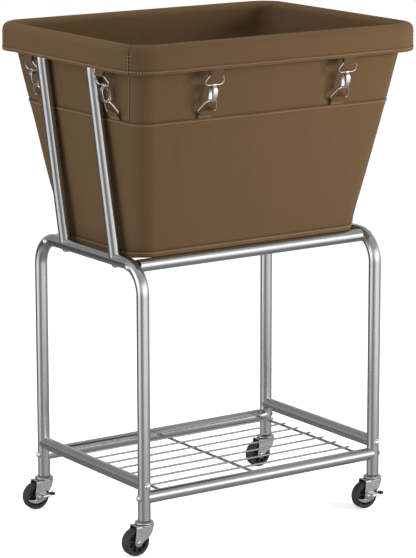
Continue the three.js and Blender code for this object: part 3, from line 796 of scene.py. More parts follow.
def outer_relief(x, y, z, column, share):
    """How far the outer wall stands out from its plain taper."""
    free = step_up(z, BAG_BOTTOM + 4, BAG_BOTTOM + 60) * (1 - step_up(z, 880, 935))
    relief = wall_bulge(z, share, column[0]) + soft_folds(x, y, z) * free
    relief += seam_pucker(x, y, z - SEAM_Z) + seam_pucker(x, y, z - BASE_LINE_Z, 8)
    relief += SEAM_STEP * (1 - step_up(z, SEAM_Z - 0.9, SEAM_Z + 0.3)) * step_up(z, SEAM_Z - 16, SEAM_Z - 2)
    relief -= SEAM_GROOVE * bell(z - SEAM_Z - 1.2, 1.2)
    relief += BINDING_STEP * (1 - step_up(z, BASE_LINE_Z - 1, BASE_LINE_Z + 1.2))
    if on_side_upright(column, SIDE_SEAM_T):
        relief -= UPRIGHT_GROOVE * step_up(z, SEAM_Z, SEAM_Z + 4)
    elif on_side_upright(column, SIDE_ROW_T):
        relief += UPRIGHT_RIDGE * step_up(z, SEAM_Z, SEAM_Z + 4)
    return relief


def cuff_relief(x, y, z, column):
    """The cuff's thicker hem, its slow waves and the groove of its corner seams."""
    quarter, on_arc, t = column
    relief = HEM_STEP * (1 - step_up(z, HEM_LINE_Z + 1.5, HEM_LINE_Z + 5))
    relief += 0.6 * wander(x * 0.012, y * 0.012, z * 0.02 + 31)
    relief += 0.3 * wander(x * 0.09, y * 0.09, 41) * (1 - step_up(z, HEM_LINE_Z, HEM_LINE_Z + 14))
    if on_arc:
        off = abs(t - cuff_seam(quarter))
        relief += CUFF_RIDGE * bell(off - CUFF_ROW_T, 0.018) - CUFF_GROOVE * bell(off, 0.008)
    return relief


def shell_change(label, x, y, z, column):
    """How far a point of the shell moves outward and up, and its painted highlight and shade, by the kind of
    row it is in.
    """
    share = 0.0 if column[1] else math.sin(math.pi * column[2])
    if label in ("outer", "shoulder"):
        # Painted highlight on the seam's lapped edge and the base binding, painted shade in the seam creases.
        wear = EDGE_PAINTED_HIGHLIGHT * bell(z - SEAM_Z + 1.4, 1.0) + BINDING_PAINTED_HIGHLIGHT * (z < BASE_LINE_Z - 0.5)
        wear -= SEAM_PAINTED_SHADE * bell(z - SEAM_Z - 0.8, 0.7) + BINDING_PAINTED_SHADE * bell(z - BASE_LINE_Z - 0.8, 0.7)
        wear -= UPRIGHT_PAINTED_SHADE * (on_side_upright(column, SIDE_SEAM_T) and z > SEAM_Z)
        return outer_relief(x, y, z, column, share), bell(z - SEAM_Z, 25) * seam_wave(x, y), wear
    if label in ("cuff", "hem_edge", "cuff_fold"):
        relief = cuff_relief(x, y, z, column)
        lift = (1 - step_up(z, HEM_LINE_Z, RIM_Z - 4)) * 0.9 * wander(x * 0.02, y * 0.02, 51)
        # Painted highlight on the cuff's bottom edge, painted shade in the hem's and corner seams' creases.
        wear = EDGE_PAINTED_HIGHLIGHT * (z < CUFF_BOTTOM + 1.2) - HEM_PAINTED_SHADE * bell(z - HEM_LINE_Z - 3.2, 1.0)
        wear -= UPRIGHT_PAINTED_SHADE * off_cuff_seam(column)
        if label == "cuff_fold":
            relief *= 0.6
            lift = relief * 0.5 * max(0, z - RIM_Z) / FOLD_R
        return relief, lift, wear
    if label == "inner":
        return (1 - step_up(z, 885, 930)) * (wall_bulge(z, share, column[0]) + soft_folds(x, y, z)), 0.0, 0.0
    return 0.0, 0.0, 0.0


def add_bag():
    """Lays the rows out, then moves each point along its row's outward direction by its relief."""
    rows = bag_rows()
    grid, wear = [], []
    for size, z, label in rows:
        loop = rounded_loop(*size)
        outward = rounded_loop(*(measure + 1 for measure in size)) - loop
        row = []
        for (x, y), (out_x, out_y), column in zip(loop, outward, COLUMNS):
            # Each point's third value is painted light: painted highlights on edges, painted shade in seam
            # creases.
            relief, lift, rubbed_and_painted_light = shell_change(label, x, y, z, column)
            row.append((x + out_x * relief, y + out_y * relief, z + lift + end_sag(x, y, z)))
            wear.append(rubbed_and_painted_light)
        grid.append(row)
    grid = np.array(grid)
    faces = grid_faces(len(rows), COLUMN_COUNT)
    around = run_lengths(grid[len(rows) // 3]) * MM
    uvs = [(u, v) for v in run_lengths(grid[:, LENGTH_COLUMN]) * MM for u in around]
    vertices = grid.reshape(-1, 3).tolist()
    for row, height in ((0, BAG_BOTTOM), (len(rows) - 1, BAG_BOTTOM + 2.1)):
        centre = len(vertices)
        vertices.append((0, 0, height))
        uvs.append((0, 0))
        wear.append(0)
        for i in range(COLUMN_COUNT):
            pair = (row * COLUMN_COUNT + i, row * COLUMN_COUNT + (i + 1) % COLUMN_COUNT)
            faces.append((centre, *(pair[::-1] if row == 0 else pair)))
    finish_piece("bag_shell", (vertices, faces), CANVAS, slot="canvas", replaced=["canvas_bag"],
                 smooth_angle=70, uvs=uvs, wear=wear)
    return grid, rows


# ---- Stitches ----
STITCH_PITCH = 5.8
STITCH_LENGTH = 3.7
STITCH_WIDTH = 1.5
STITCH_RISE = 0.9
STITCH_DIG = 0.2                 # how far its middle line starts below the cloth's face
STITCH_LIFT = 0.05               # the line of stitches above the shell's own points
# A pad's rings: (place along it, width, height), each as a share.
STITCH_RINGS = ((-0.5, 0.35, -0.3), (-0.3, 0.85, 0.35), (0, 1, 0.55), (0.3, 0.85, 0.35), (0.5, 0.35, -0.3))


def facing(along):
    """Directions out of the cloth, level and square to directions along the shell."""
    outward = np.stack([along[:, 1], -along[:, 0], np.zeros(len(along))], axis=1)
    return outward / np.linalg.norm(outward, axis=1)[:, None]


def level_line(grid, rows, height, label):
    """A closed line of (point, outward) on the shell at one height, from the nearest row of a label."""
    row = min((i for i in range(len(rows)) if rows[i][2] == label), key=lambda i: abs(rows[i][1] - height))
    line = grid[row]
    outward = facing(np.roll(line, -1, axis=0) - np.roll(line, 1, axis=0))
    return line + (0, 0, height - rows[row][1]) + outward * STITCH_LIFT, outward


def upright_line(grid, rows, column, low, high, label):
    """An open line of (point, outward) up one column of the shell."""
    picked = [i for i, row in enumerate(rows) if row[2] == label and low <= row[1] <= high]
    outward = facing(grid[picked, (column + 1) % COLUMN_COUNT] - grid[picked, column - 1])
    return grid[picked, column] + outward * STITCH_LIFT, outward


def stitches_along(line, outward, closed=False, pitch=STITCH_PITCH, length=STITCH_LENGTH):
    """Lock stitches: short pads of thread that dive into the cloth at both ends."""
    if closed:
        line = np.concatenate([line, line[:1]])
        outward = np.concatenate([outward, outward[:1]])
    distance = run_lengths(line)

    def at(values, place):
        return np.array([np.interp(place, distance, column) for column in values.T])

    count = int(distance[-1] / pitch)
    oval = circle(1, 6) * (STITCH_WIDTH / 2, STITCH_RISE / 2)
    parts = []
    for place in (np.arange(count) + 0.5) / count * distance[-1]:
        along = at(line, place + length / 2) - at(line, place - length / 2)
        along /= max(np.linalg.norm(along), 1e-6)
        out = at(outward, place)
        side = np.cross(along, out)
        side /= np.linalg.norm(side)
        rings = []
        for shift, scale, height in STITCH_RINGS:
            middle = at(line, place) + along * shift * length + out * (height * STITCH_RISE - STITCH_DIG)
            rings += [middle + side * a * scale + out * b * scale for a, b in oval]
        parts.append((rings, grid_faces(5, 6) + end_caps(5, 6)))
    return parts


def add_thread(name, parts):
    finish_piece(name, joined(parts), THREAD, slot="canvas", smooth_angle=60)


def add_stitches(grid, rows):
    """Closed rows round the cuff, the wall and the base, and upright rows beside the corner seams."""
    for name, height, label in (("cuff_hem_stitches", HEM_LINE_Z, "cuff"),
                                ("wall_seam_stitches", SEAM_Z - 3.5, "outer"),
                                ("base_binding_stitches", BASE_LINE_Z - 1.8, "outer")):
        add_thread(name, stitches_along(*level_line(grid, rows, height, label), closed=True))
    parts = []
    for number, column in enumerate(COLUMNS):
        if off_cuff_seam(column, CUFF_ROW_T):
            parts += stitches_along(*upright_line(grid, rows, number, CUFF_BOTTOM + 2, RIM_Z - 2, "cuff"))
        if on_side_upright(column, SIDE_ROW_T):
            parts += stitches_along(*upright_line(grid, rows, number, SEAM_Z + 5, 899, "outer"))
    add_thread("corner_stitches", parts)


# ---- Straps, rings and snap hooks ----
# Each hangs on a wall frame: its first axis runs along the wall, the second points outward, the third is up.
LONG_FACE = RIM_Y + FOLD_R + CLOTH
SHORT_FACE = RIM_X + FOLD_R + CLOTH
# A wall is (direction along it, direction outward, distance of the cuff's face from the middle).
WALLS = {
    "front": ((1, 0), (0, -1), LONG_FACE),
    "back": ((-1, 0), (0, 1), LONG_FACE),
    "left": ((0, -1), (-1, 0), SHORT_FACE),
    "right": ((0, 1), (1, 0), SHORT_FACE),
}
EYE_BAR_Z = 872
EYE_BAR_INSET = 11.6             # behind the cuff's face
EYE_TOP = (-3.0, 891.0)          # (outward from the cuff's face, height)
EYE_WIRE_R = 1.5
HOOK_TILT = 13
STRAP_WIDTH = 29
TAB_WIDTH = 32
WEBBING_THICKNESS = 1.3
WEBBING_ROUND = 0.85             # from a wire's face to the middle of the webbing round it
RING_WIRE_R = 1.65
RING_APEX = (-18.2, 843.2)       # (outward from the cuff's face, height)
RING_BAR_Z = 821
RING_BAR_PROUD = 5.2
GATE_PIVOT = (-4.2, -7.9)        # (outward, up) from the eye's bar


def wall_matrix(wall, along_place, distance=0.0, z=0.0):
    """Takes (along, outward, up) to the object's millimetres."""
    (ax, ay), (ox, oy), _ = WALLS[wall]
    matrix = Matrix(((ax, ox, 0, 0), (ay, oy, 0, 0), (0, 0, 1, 0), (0, 0, 0, 1)))
    matrix.translation = (ax * along_place + ox * distance, ay * along_place + oy * distance, z)
    return matrix


def wall_distance(wall, z):
    """Distance from the object's centre to the bag's outer wall, at the middle of a side."""
    half_x, half_y, _ = bag_size(z)
    return (half_x if wall in ("left", "right") else half_y) + wall_bulge(z, 0.8)


def strip(route, width, thickness, steps=3, across=9, edge=None):
    """A flat band along a route of (outward, up) points, its width along the wall."""
    points = np.insert(route, 0, 0.0, axis=1)
    sections = []
    for local_width in np.broadcast_to(width, len(points)):
        section = rounded_box_section(local_width, thickness, steps, edge)
        flat = []
        for first, second in zip(section, np.roll(section, -1, axis=0)):
            count = across if np.linalg.norm(second - first) > local_width * 0.4 else 1
            flat += [first + (second - first) * i / count for i in range(count)]
        sections.append(flat)
    first_run = abs(points[1] - points[0])
    return sweep(points, sections, up=(0, 1, 0) if first_run[2] > first_run[1] else (0, 0, 1))


def arc_points(centre, radius, start, end, count):
    """Points on an arc in (outward, up), angles in degrees from outward."""
    angles = np.radians(np.linspace(start, end, count))
    return [(centre[0] + radius * math.cos(a), centre[1] + radius * math.sin(a)) for a in angles]


def d_ring(half_low, half_high, foot_to_top, low_corner, high_corner, wire_r, lean_degrees=20):
    """A rounded wire D that leans out from its bar at the bottom to its top.

    foot_to_top is (outward, up), and lean_degrees turns the sides, not the ring.
    """
    height = math.hypot(*foot_to_top)
    lean = math.radians(lean_degrees)
    corners = (((half_low - low_corner, low_corner), low_corner, -math.pi / 2, lean),
               ((half_high - high_corner, height - high_corner), high_corner, lean, math.pi / 2))
    right = [(cx + r * math.cos(a), cy + r * math.sin(a))
             for (cx, cy), r, start, end in corners for a in np.linspace(start, end, 9)]
    loop = right + [(-x, y) for x, y in right[::-1]]
    points = np.insert(resampled(loop + loop[:1], 1.4)[:-1], 1, 0.0, axis=1)
    ring = sweep(points, circle(wire_r, 14), closed=True, up=(0, 1, 0))
    return moved(ring, tilt_out(math.degrees(math.atan2(*foot_to_top))))


def tilt_out(degrees):
    """Leans a part that stands on the along axis: its top goes outward."""
    return Matrix.Rotation(-math.radians(degrees), 4, "X")


def hook_places():
    """Each hook's name, its wall and its place along the wall."""
    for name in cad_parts:
        if name.endswith("_hook_eye"):
            wall = name.split("_")[0]
            x, y, _ = np.mean(box_mm(name), axis=0)
            (ax, ay), _, _ = WALLS[wall]
            yield name.removesuffix("_hook_eye"), wall, x * ax + y * ay


def add_webbing(name, route, spacing, width, matrix):
    part = strip(resampled(smooth_profile(route, 1), spacing), width, WEBBING_THICKNESS)
    finish_piece(name, moved(part, matrix), WEBBING, slot="canvas", smooth_angle=60)


def add_upper_strap(name, wall, along):
    """Webbing sewn inside the cuff, looped round the top of the eye."""
    route = [(-2.7, 920), (-2.7, 908), (-2.6, 902), (-1.9, 897)]
    route += arc_points(EYE_TOP, EYE_WIRE_R + WEBBING_ROUND, 0, -180, 9)
    route += [(-5.6, 897), (-4.6, 902), (-4.3, 908), (-4.3, 920)]
    add_webbing(name + "_strap", route, 1.2, STRAP_WIDTH, wall_matrix(wall, along, WALLS[wall][2]))


def add_lower_patch(name, wall, along):
    """Webbing tab sewn on the wall with two rows, folded round the ring's bar."""
    bar = (wall_distance(wall, RING_BAR_Z) + RING_BAR_PROUD, RING_BAR_Z)
    foot, low, high = (wall_distance(wall, z) for z in (808, 812, 816))
    route = [(foot + 0.9, 808), (low + 0.9, 812), (high + 0.8, 816)]
    route += arc_points(bar, RING_WIRE_R + WEBBING_ROUND, 190, 0, 10)
    route += [(high + 5.0, 816), (low + 3.2, 811.5), (foot + 2.3, 808)]
    add_webbing(name + "_tab", route, 1.0, TAB_WIDTH, wall_matrix(wall, along))
    line = np.array([(x, 0, 0) for x in np.linspace(-14, 14, 9)])
    outward = np.array([(0.0, 1.0, 0.0)] * 9)
    row = stitches_along(line, outward, pitch=2.9, length=2.2)
    parts = []
    for z, out in ((809.4, 3.2), (812.0, 3.9)):
        place = wall_matrix(wall, along) @ Matrix.Translation((0, wall_distance(wall, z) + out, z))
        parts += [moved(stitch, place) for stitch in row]
    add_thread(name + "_tab_stitches", parts)


def add_lower_ring(name, wall, along):
    """The D ring that the snap hook bites: bar in the tab, bow up to the hook."""
    bar_out = wall_distance(wall, RING_BAR_Z) + RING_BAR_PROUD
    foot_to_top = (WALLS[wall][2] + RING_APEX[0] - bar_out, RING_APEX[1] - RING_BAR_Z)
    ring = d_ring(19.5, 14.5, foot_to_top, 4, 12, RING_WIRE_R, lean_degrees=12)
    ring = moved(ring, wall_matrix(wall, along, bar_out, RING_BAR_Z))
    finish_piece(name + "_ring", ring, NICKEL, slot="nickel")


def add_eye(name, wall, along):
    """Wire D that carries the hook: narrow where the strap holds it, its bar at the bottom."""
    ring = d_ring(20, 15, (EYE_BAR_INSET + EYE_TOP[0], EYE_TOP[1] - EYE_BAR_Z), 8, 4, EYE_WIRE_R)
    place = wall_matrix(wall, along, WALLS[wall][2] - EYE_BAR_INSET, EYE_BAR_Z)
    finish_piece(name + "_eye_wire", moved(ring, place), NICKEL, slot="nickel", replaced=[name + "_hook_eye"])


def hook_place(wall, along):
    """A hook's own axes: it hangs from the eye's bar and its top leans outward."""
    return wall_matrix(wall, along, WALLS[wall][2] - EYE_BAR_INSET, EYE_BAR_Z) @ tilt_out(HOOK_TILT)


def add_hook_body(name, wall, along):
    """Collar on the eye's bar, wide sprung strip round to the nose, and cheeks that hold the gate's pin."""
    outer = quadratic((3.0, -2.6), (8.2, -5.5), (8.2, -17), 12)
    lower = quadratic((8.2, -17), (8.2, -32), (0, -32), 14)
    nose = quadratic((0, -32), (-5.9, -32), (-7.3, -25.4), 10)
    route = resampled(np.concatenate([outer, lower[1:], nose[1:]]), 0.8)
    share = np.linspace(0, 1, len(route))
    widths = 6.6 + 3.0 * np.minimum(1, share * 7) - 2.2 * np.maximum(0, share - 0.8) / 0.2
    collar = smooth_profile([(1.75, -3.6), (3.2, -4.1), (3.7, -3.2), (3.7, 3.2), (3.2, 4.1), (1.75, 3.6)])
    parts = [strip(route, widths, 1.9, steps=4, across=5, edge=0.7), moved(lathe(collar, 28), ALONG_X)]
    cheek = [(-1.2, -3.2), (3.4, -3.4), (4.6, -5.4), (1.0, -7.4), (-3.0, -10.0), (-6.0, -9.6), (-6.1, -6.6),
             (-4.0, -5.2)]
    cheek = smooth_profile(cheek + cheek[:1])[:-1]
    parts += [extruded(cheek, side * 3.9 - 0.5, side * 3.9 + 0.5) for side in (-1, 1)]
    rivet = lathe([(0, 0), (1.7, 0), (1.75, 0.4), (1.2, 0.9), (0, 1.05)], 18)
    for side in (-1, 1):
        head = Matrix.Translation((side * 4.35, *GATE_PIVOT)) @ Matrix.Rotation(side * math.pi / 2, 4, "Y")
        parts.append(moved(rivet, head))
    pin = lathe([(0, -4.4), (0.85, -4.4), (0.85, 4.4), (0, 4.4)], 16)
    parts.append(moved(pin, Matrix.Translation((0, *GATE_PIVOT)) @ ALONG_X))
    finish_piece(name + "_hook_body", moved(joined(parts), hook_place(wall, along)), NICKEL, slot="nickel",
                 replaced=[name + "_snap_hook"])


def add_gate(name, wall, along):
    """The bent blade from the pin to the nose."""
    route = np.concatenate([arc_points(GATE_PIVOT, 1.75, 60, 200, 7),
                            quadratic((-6.3, -9.2), (-9.2, -15.0), (-6.6, -23.0)),
                            [(-5.9, -25.0), (-5.4, -26.8)]])
    route = resampled(route, 0.7)
    widths = np.interp(np.linspace(0, 1, len(route)), (0, 0.25, 0.4, 0.93, 1), (6.6, 6.6, 6.2, 7.4, 5.6))
    blade = moved(strip(route, widths, 1.15, across=5, edge=0.45), hook_place(wall, along))
    finish_piece(name + "_gate_blade", blade, NICKEL, name + "_gate", "nickel", [name + "_snap_gate"])


def add_hooks():
    for place in list(hook_places()):
        for add in (add_upper_strap, add_eye, add_hook_body, add_gate, add_lower_ring, add_lower_patch):
            add(*place)


def add_floor_board():
    """Stiff card floor in its own thin cover, lying in the bottom of the bag."""
    (_, _, low), (half_x, half_y, high) = box_mm("floor_board")
    rows = [((high - low) / 2, low), (0.6, low), (0, low + 0.7), (0, high - 0.9), (0.8, high),
            (6, high + 0.1)]
    grid = []
    for inset, z in rows:
        loop = rounded_loop(half_x - inset, half_y - inset, BOARD_CORNER - inset)
        wave = [0.25 * wander(x * 0.01, y * 0.01, 61) if z > high - 1 else 0 for x, y in loop]
        grid.append(np.c_[loop, z + np.array(wave)])
    vertices = np.concatenate(grid).tolist()
    faces = grid_faces(len(rows), COLUMN_COUNT)
    for row, z in ((0, low), (len(rows) - 1, high + 0.2)):
        centre = len(vertices)
        vertices.append((0, 0, z))
        faces += [(centre, row * COLUMN_COUNT + i, row * COLUMN_COUNT + (i + 1) % COLUMN_COUNT)
                  for i in range(COLUMN_COUNT)]
    finish_piece("covered_floor_board", (vertices, faces), BOARD_COVER, slot="board",
                 replaced=["floor_board"])


# ---- Casters, each about the point on the ground below its stem ----
FORK_TOP = 58.5
FORK_OUTER_Y = 12.2
FORK_INNER_Y = 10.4
FORK_SHEET = 1.8
FORK_BEND_R = 3.2
AXLE_LOBE_R = 7.5
TREAD_INNER_R = 20.4
# The brake, about the axle.
SKIRT_FACES_Y = (-14.1, -12.7)
BOSS_Y = -14.0
RIVET_ON_BRAKE_Y = 14.9
TOE_Y = -17.4
TOE_Z = 3.6


def fork_edge():
    """The side plate's lower edge in (x, z), from the trailing corner round the axle lobe to the front."""
    edge = [(-27.4, WHEEL_R + 2.5)]
    edge += [(-TRAIL + AXLE_LOBE_R * math.cos(a), WHEEL_R + AXLE_LOBE_R * math.sin(a))
             for a in np.linspace(math.pi * 1.03, math.pi * 1.75, 12)]
    edge += quadratic((-13.6, WHEEL_R - 4.4), (-10.5, 26.6), (-4.6, 29.9), 5).tolist()
    edge += quadratic((-4.6, 29.6), (4.8, 34.0), (10.4, 45), 7)[1:].tolist() + [(12.8, FORK_TOP - 4.5)]
    return resampled(edge, 2.0)


def fork_sheet():
    """One folded sheet: side plate, bend, top plate, bend, side plate, as a grid of crossing lines."""
    edge = fork_edge()
    middle_y = (FORK_OUTER_Y + FORK_INNER_Y) / 2
    middle_z = FORK_TOP - FORK_SHEET / 2
    bend_y, bend_z = middle_y - FORK_BEND_R, middle_z - FORK_BEND_R
    rows = []
    for (low_x, low_z), top_x in zip(edge, np.linspace(-24, 13.5, len(edge))):
        low_z = min(low_z, bend_z - 0.3)
        half = [(low_x + (top_x - low_x) * t, middle_y, low_z + (bend_z - low_z) * t)
                for t in spread(0, 1, 9)]
        half += [(top_x, bend_y + FORK_BEND_R * math.cos(a), bend_z + FORK_BEND_R * math.sin(a))
                 for a in np.linspace(0, math.pi / 2, 6)[1:]]
        half += [(top_x, y, middle_z) for y in spread(bend_y, 0, 5)[1:]]
        rows.append(half + [(x, -y, z) for x, y, z in half[-2::-1]])
    return sheet(rows)


def sheet(rows):
    """An open sheet of rows of points."""
    grid = np.array(rows)
    return grid.reshape(-1, 3), grid_faces(grid.shape[0], grid.shape[1], wrap_columns=False)


def add_fork(name, place, body):
    """The folded sheet, and the ball race under its top plate."""
    piece = add_mesh(name + "_fork_sheet", moved(fork_sheet(), place), ZINC)
    bevelled(piece, 0.35, solid=FORK_SHEET)
    place_piece(piece, body, [name + "_caster_fork"])
    race = [(0, -2.3), (15.4, -2.3), (17.1, -3.6), (17.9, -2.8), (17.6, -0.6), (16.4, 0.1), (0, 0.1)]
    race = moved(lathe(smooth_profile(race)), place @ Matrix.Translation((0, 0, FORK_TOP)))
    finish_piece(name + "_fork_race", race, ZINC, body, "zinc")


def add_stem(name, place):
    """Domed upper race, collar and stem, which goes up into the leg."""
    seat = LEG_BOTTOM - 0.3
    base = FORK_TOP + 0.45
    dome = ((0, 0), (16.2, 0), (17.9, 0.5), (18.1, 1.6), (17.4, 3.0), (15.2, 4.2), (12.6, 4.9), (10.6, 5.0))
    profile = [(radius, base + up) for radius, up in dome]
    profile += [(10.3, seat - 0.2), (9.3, seat), (9.2, seat + 30), (7.4, seat + 33), (0, seat + 33)]
    finish_piece(name + "_stem_turned", moved(lathe(smooth_profile(profile, 1)), place), ZINC, slot="zinc",
                 replaced=[name + "_caster_stem"])


def add_wheel(name, place, body):
    """Rubber tread on a ribbed hub, turned about +Y at the axle."""
    turn = place @ along_y((-TRAIL, 0, WHEEL_R))
    side = [(20.7, 8.6), (23.7, 9.2), (25.6, 8.0), (WHEEL_R, 5.2)]
    tread = [(radius, -up) for radius, up in side] + side[::-1]
    tyre = [(TREAD_INNER_R, -8.4), *smooth_profile(tread), (TREAD_INNER_R, 8.4)]
    finish_piece(name + "_tread", moved(lathe(tyre, 72), turn), RUBBER, body, "tyre")
    rim = [*smooth_profile([(18.5, -7.6), (18.9, -9.2), (20.2, -9.2), (TREAD_INNER_R, -8.3)], 1)]
    rim += [(TREAD_INNER_R, 8.3), *smooth_profile([(20.2, 9.2), (18.9, 9.2), (18.5, 7.6)], 1)]
    rim += [(18.3, 2.4), (18.3, -2.4)]
    web = [(7.0, -2.4), (18.4, -2.4), (18.4, 2.4), (7.0, 2.4)]
    end = [(7.8, 2.0), (7.4, 8.8), (6.6, 9.6), (3.35, 9.6)]
    boss = smooth_profile([(radius, -up) for radius, up in end[::-1]] + end, 1)
    parts = [lathe(rim, 72), lathe(web, 48), lathe(boss, 40)]
    rib_outline = [(7.2, -0.9), (18.7, -0.7), (18.7, 0.7), (7.2, 0.9)]
    for number in range(8):
        for low, high in ((-7.9, -2.2), (2.2, 7.9)):
            rib = extruded(rib_outline, low, high, axis=2)
            parts.append(moved(rib, Matrix.Rotation(number * math.pi / 4 + 0.2, 4, "Z")))
    finish_piece(name + "_hub", moved(joined(parts), turn), HUB_PLASTIC, body, "tyre",
                 [name + "_caster_wheel"], smooth_angle=30)


def add_axle(name, place, body, head_y):
    """Domed rivet head on the brake's side and a hexagon nut on the other."""
    head = smooth_profile([(0, 0), (5.0, 0), (5.1, 0.7), (4.4, 1.7), (3.0, 2.4), (1.4, 2.7), (0, 2.75)], 1)
    shank = [(0, -14.5), (3, -14.5), (3, 14.5), (0, 14.5)]
    parts = [moved(lathe(head, 32), along_y((0, -head_y - 0.1, 0), flip=True)),
             moved(lathe(shank, 24), along_y()),
             extruded(circle(5.2, 6), FORK_OUTER_Y + 0.1, FORK_OUTER_Y + 2.7, axis=1, taper=0.97)]
    axle = place @ Matrix.Translation((-TRAIL, 0, WHEEL_R))
    finish_piece(name + "_axle_bolt", moved(joined(parts), axle), ZINC, body, "zinc",
                 [name + "_caster_axle"], smooth_angle=28)


def brake_outline():
    """The stamped crescent round the axle, in (x, z) from the axle."""
    upper = quadratic((-22.9, -2.2), (-14, -6.4), (-6.0, -3.4))
    boss = [(6.4 * math.cos(a), 6.4 * math.sin(a)) for a in np.linspace(math.pi * 1.15, math.pi * 0.2, 14)]
    arm = [(12, 4.2), (19, 4.6), (22, 4.4), (22, 1.4), (18.5, -1.0)]
    lower = quadratic((18.5, -1.0), (11, -11.8), (-3, -12.4), 12)[1:]
    tail = quadratic((-3, -12.4), (-15, -12.6), (-23.4, -4.1))[1:]
    return np.concatenate([upper, boss, arm, lower, tail, [(-23.8, -3.0)]])


def add_brake(name, place, body):
    """Side brake: stamped skirt with a raised boss, a flanged arm and a moulded toe cap."""
    axle = place @ Matrix.Translation((-TRAIL, 0, WHEEL_R))
    skirt = extruded(brake_outline(), *SKIRT_FACES_Y, axis=1)
    piece = add_mesh(name + "_brake_skirt", moved(skirt, axle), ZINC)
    fix_normals(piece)
    bevelled(piece, 0.45, 3)
    place_piece(piece, body, [name + "_brake_lever"])
    disc = smooth_profile([(0, 0), (7.4, 0), (7.3, 0.5), (6.6, 0.9), (5.4, 0.9), (5.1, 0.6), (0, 0.6)], 1)
    boss = moved(lathe(disc, 36), axle @ along_y((0, BOSS_Y, 0), flip=True))
    finish_piece(name + "_brake_boss", boss, ZINC, body, "nickel", smooth_angle=50)
    arm_route = resampled(smooth_profile([(-13.3, 3.8), (-16.5, 4.0), (-21.4, 3.8), (-21.7, -0.6)]), 0.8)
    arm = sheet([[(x, y, z) for y, z in arm_route] for x in spread(5.5, 22.5, 9)])
    piece = add_mesh(name + "_brake_arm", moved(arm, axle), NICKEL)
    bevelled(piece, 0.3, solid=1.5)
    place_piece(piece, body)
    stations = ((20.4, 0.6), (20.9, 1), (23.4, 1.04), (27, 1.04), (30.2, 1), (31.8, 0.72), (32.3, 0.35))
    rows = []
    for x, grow in stations:
        section = rounded_box_section(9.4 * grow, 5.6 * grow, 4, corner=1.9 * grow)
        rows += [(x, TOE_Y + a, TOE_Z + b) for a, b in section]
    count = len(stations)
    width = len(rows) // count
    cap = moved((rows, grid_faces(count, width) + end_caps(count, width)), axle)
    finish_piece(name + "_brake_toe", cap, TOE_PLASTIC, body, "tyre", smooth_angle=50)
    ridges = [rod((x, TOE_Y - 3.8, TOE_Z + 2.9), (x, TOE_Y + 3.8, TOE_Z + 2.9), 0.45, 10)
              for x in (23.2, 25.2, 27.2, 29.2)]
    finish_piece(name + "_brake_grip", moved(joined(ridges), axle), TOE_PLASTIC, body, "tyre")


def add_casters():
    """Four casters, two of them with side brakes."""
    for side_name, side in SIDES.items():
        for front_name, front in FRONTS.items():
            name = f"{front_name}_{side_name}"
            place = Matrix.Translation((side * LEG_X, front * LEG_Y, 0))
            add_stem(name, place)
            add_fork(name, place, name + "_fork")
            add_wheel(name, place, name + "_wheel")
            add_axle(name, place, name + "_fork", RIVET_ON_BRAKE_Y if name in BRAKED else FORK_OUTER_Y)
            if name in BRAKED:
                add_brake(name, place, name + "_brake")


add_tube_frame()
add_posts()
add_frame_bolts()
add_shelf()
add_stitches(*add_bag())
add_floor_board()
add_hooks()
add_casters()


# ---- Floor, light and camera ----
FLOOR_SIZE = 80.0
MATTE_LEVEL = 0.52
FLOOR_GLOW = 0.52
WHITE = (1, 1, 1, 1)
# How much of the tent the floor lets through to shiny surfaces, by distance from the middle as a share of
# the reach in metres, and the brightness it adds where it lets nothing through. The dimming near the middle
# is a painted shadow of the sorter, seen only in reflections.
MIRRORED_REACH = 2.4
MIRRORED_FLOOR = ((0, 0.3), (0.22, 0.36), (0.34, 0.44), (0.46, 0.62), (0.6, 0.86), (0.78, 1.0))
MIRRORED_HAZE = 0.3
# Light tent brightness by heading in degrees from +X, and by the sine of the elevation.
TENT_HEADINGS = ((-180, 1.15), (-168, 0.62), (-155, 0.27), (-135, 0.3), (-118, 0.6), (-103, 1.05), (-50, 1.1),
                 (-22, 0.42), (0, 0.4), (30, 0.5), (50, 0.25), (95, 0.1), (130, 0.08), (146, 0.9),
                 (162, 1.35), (180, 1.15))
TENT_HEIGHTS = ((-1, 0.32), (-0.56, 0.42), (-0.36, 0.85), (-0.21, 1.0), (-0.05, 1.45), (0.16, 1.65),
                (0.38, 1.2), (0.58, 0.25), (0.78, 0.12), (1, 0.12))
TENT_TOP = ((-1, 0.0), (-0.12, 0.0), (0.15, 0.2), (0.5, 0.22), (0.72, 0.36), (1, 0.42))
# Name, place and target in metres, size in metres, power in watts.
LAMPS = (("key", (1.15, -1.45, 1.1), (0.1, -0.1, 0.75), 0.6, 33),
         ("left_fill", (-2.6, 0.3, 1.3), (0, 0, 0.7), 1.6, 30),
         ("top", (-0.3, 0.3, 2.3), (0, 0, 0.7), 1.4, 14))
CAMERA_PLACE = (-2.8773, -4.2192, 1.5573)
CAMERA_HEADING, CAMERA_PITCH, CAMERA_ROLL = (math.radians(angle) for angle in (-34.291, 12.174, -0.092))
CAMERA_LENS = 175.1


def ramp(tree, value, stops, start=0.0, end=1.0):
    """A smooth grey curve through (place, level) stops, places from start to end and levels up to 2."""
    made = add_node(tree, "ValToRGB", {0: value})
    colours = made.color_ramp
    colours.interpolation = "EASE"
    while len(colours.elements) < len(stops):
        colours.elements.new(0.5)
    for element, (place, level) in zip(colours.elements, stops):
        element.position = (place - start) / (end - start)
        element.color = (level / 2, level / 2, level / 2, 1)
    return arithmetic(tree, "MULTIPLY", made.outputs[0], 2.0)


def mix_shaders(tree, switch, first, second):
    """The second where the switch is on, the first elsewhere."""
    return add_node(tree, "MixShader", {0: switch, 1: first, 2: second}).outputs[0]


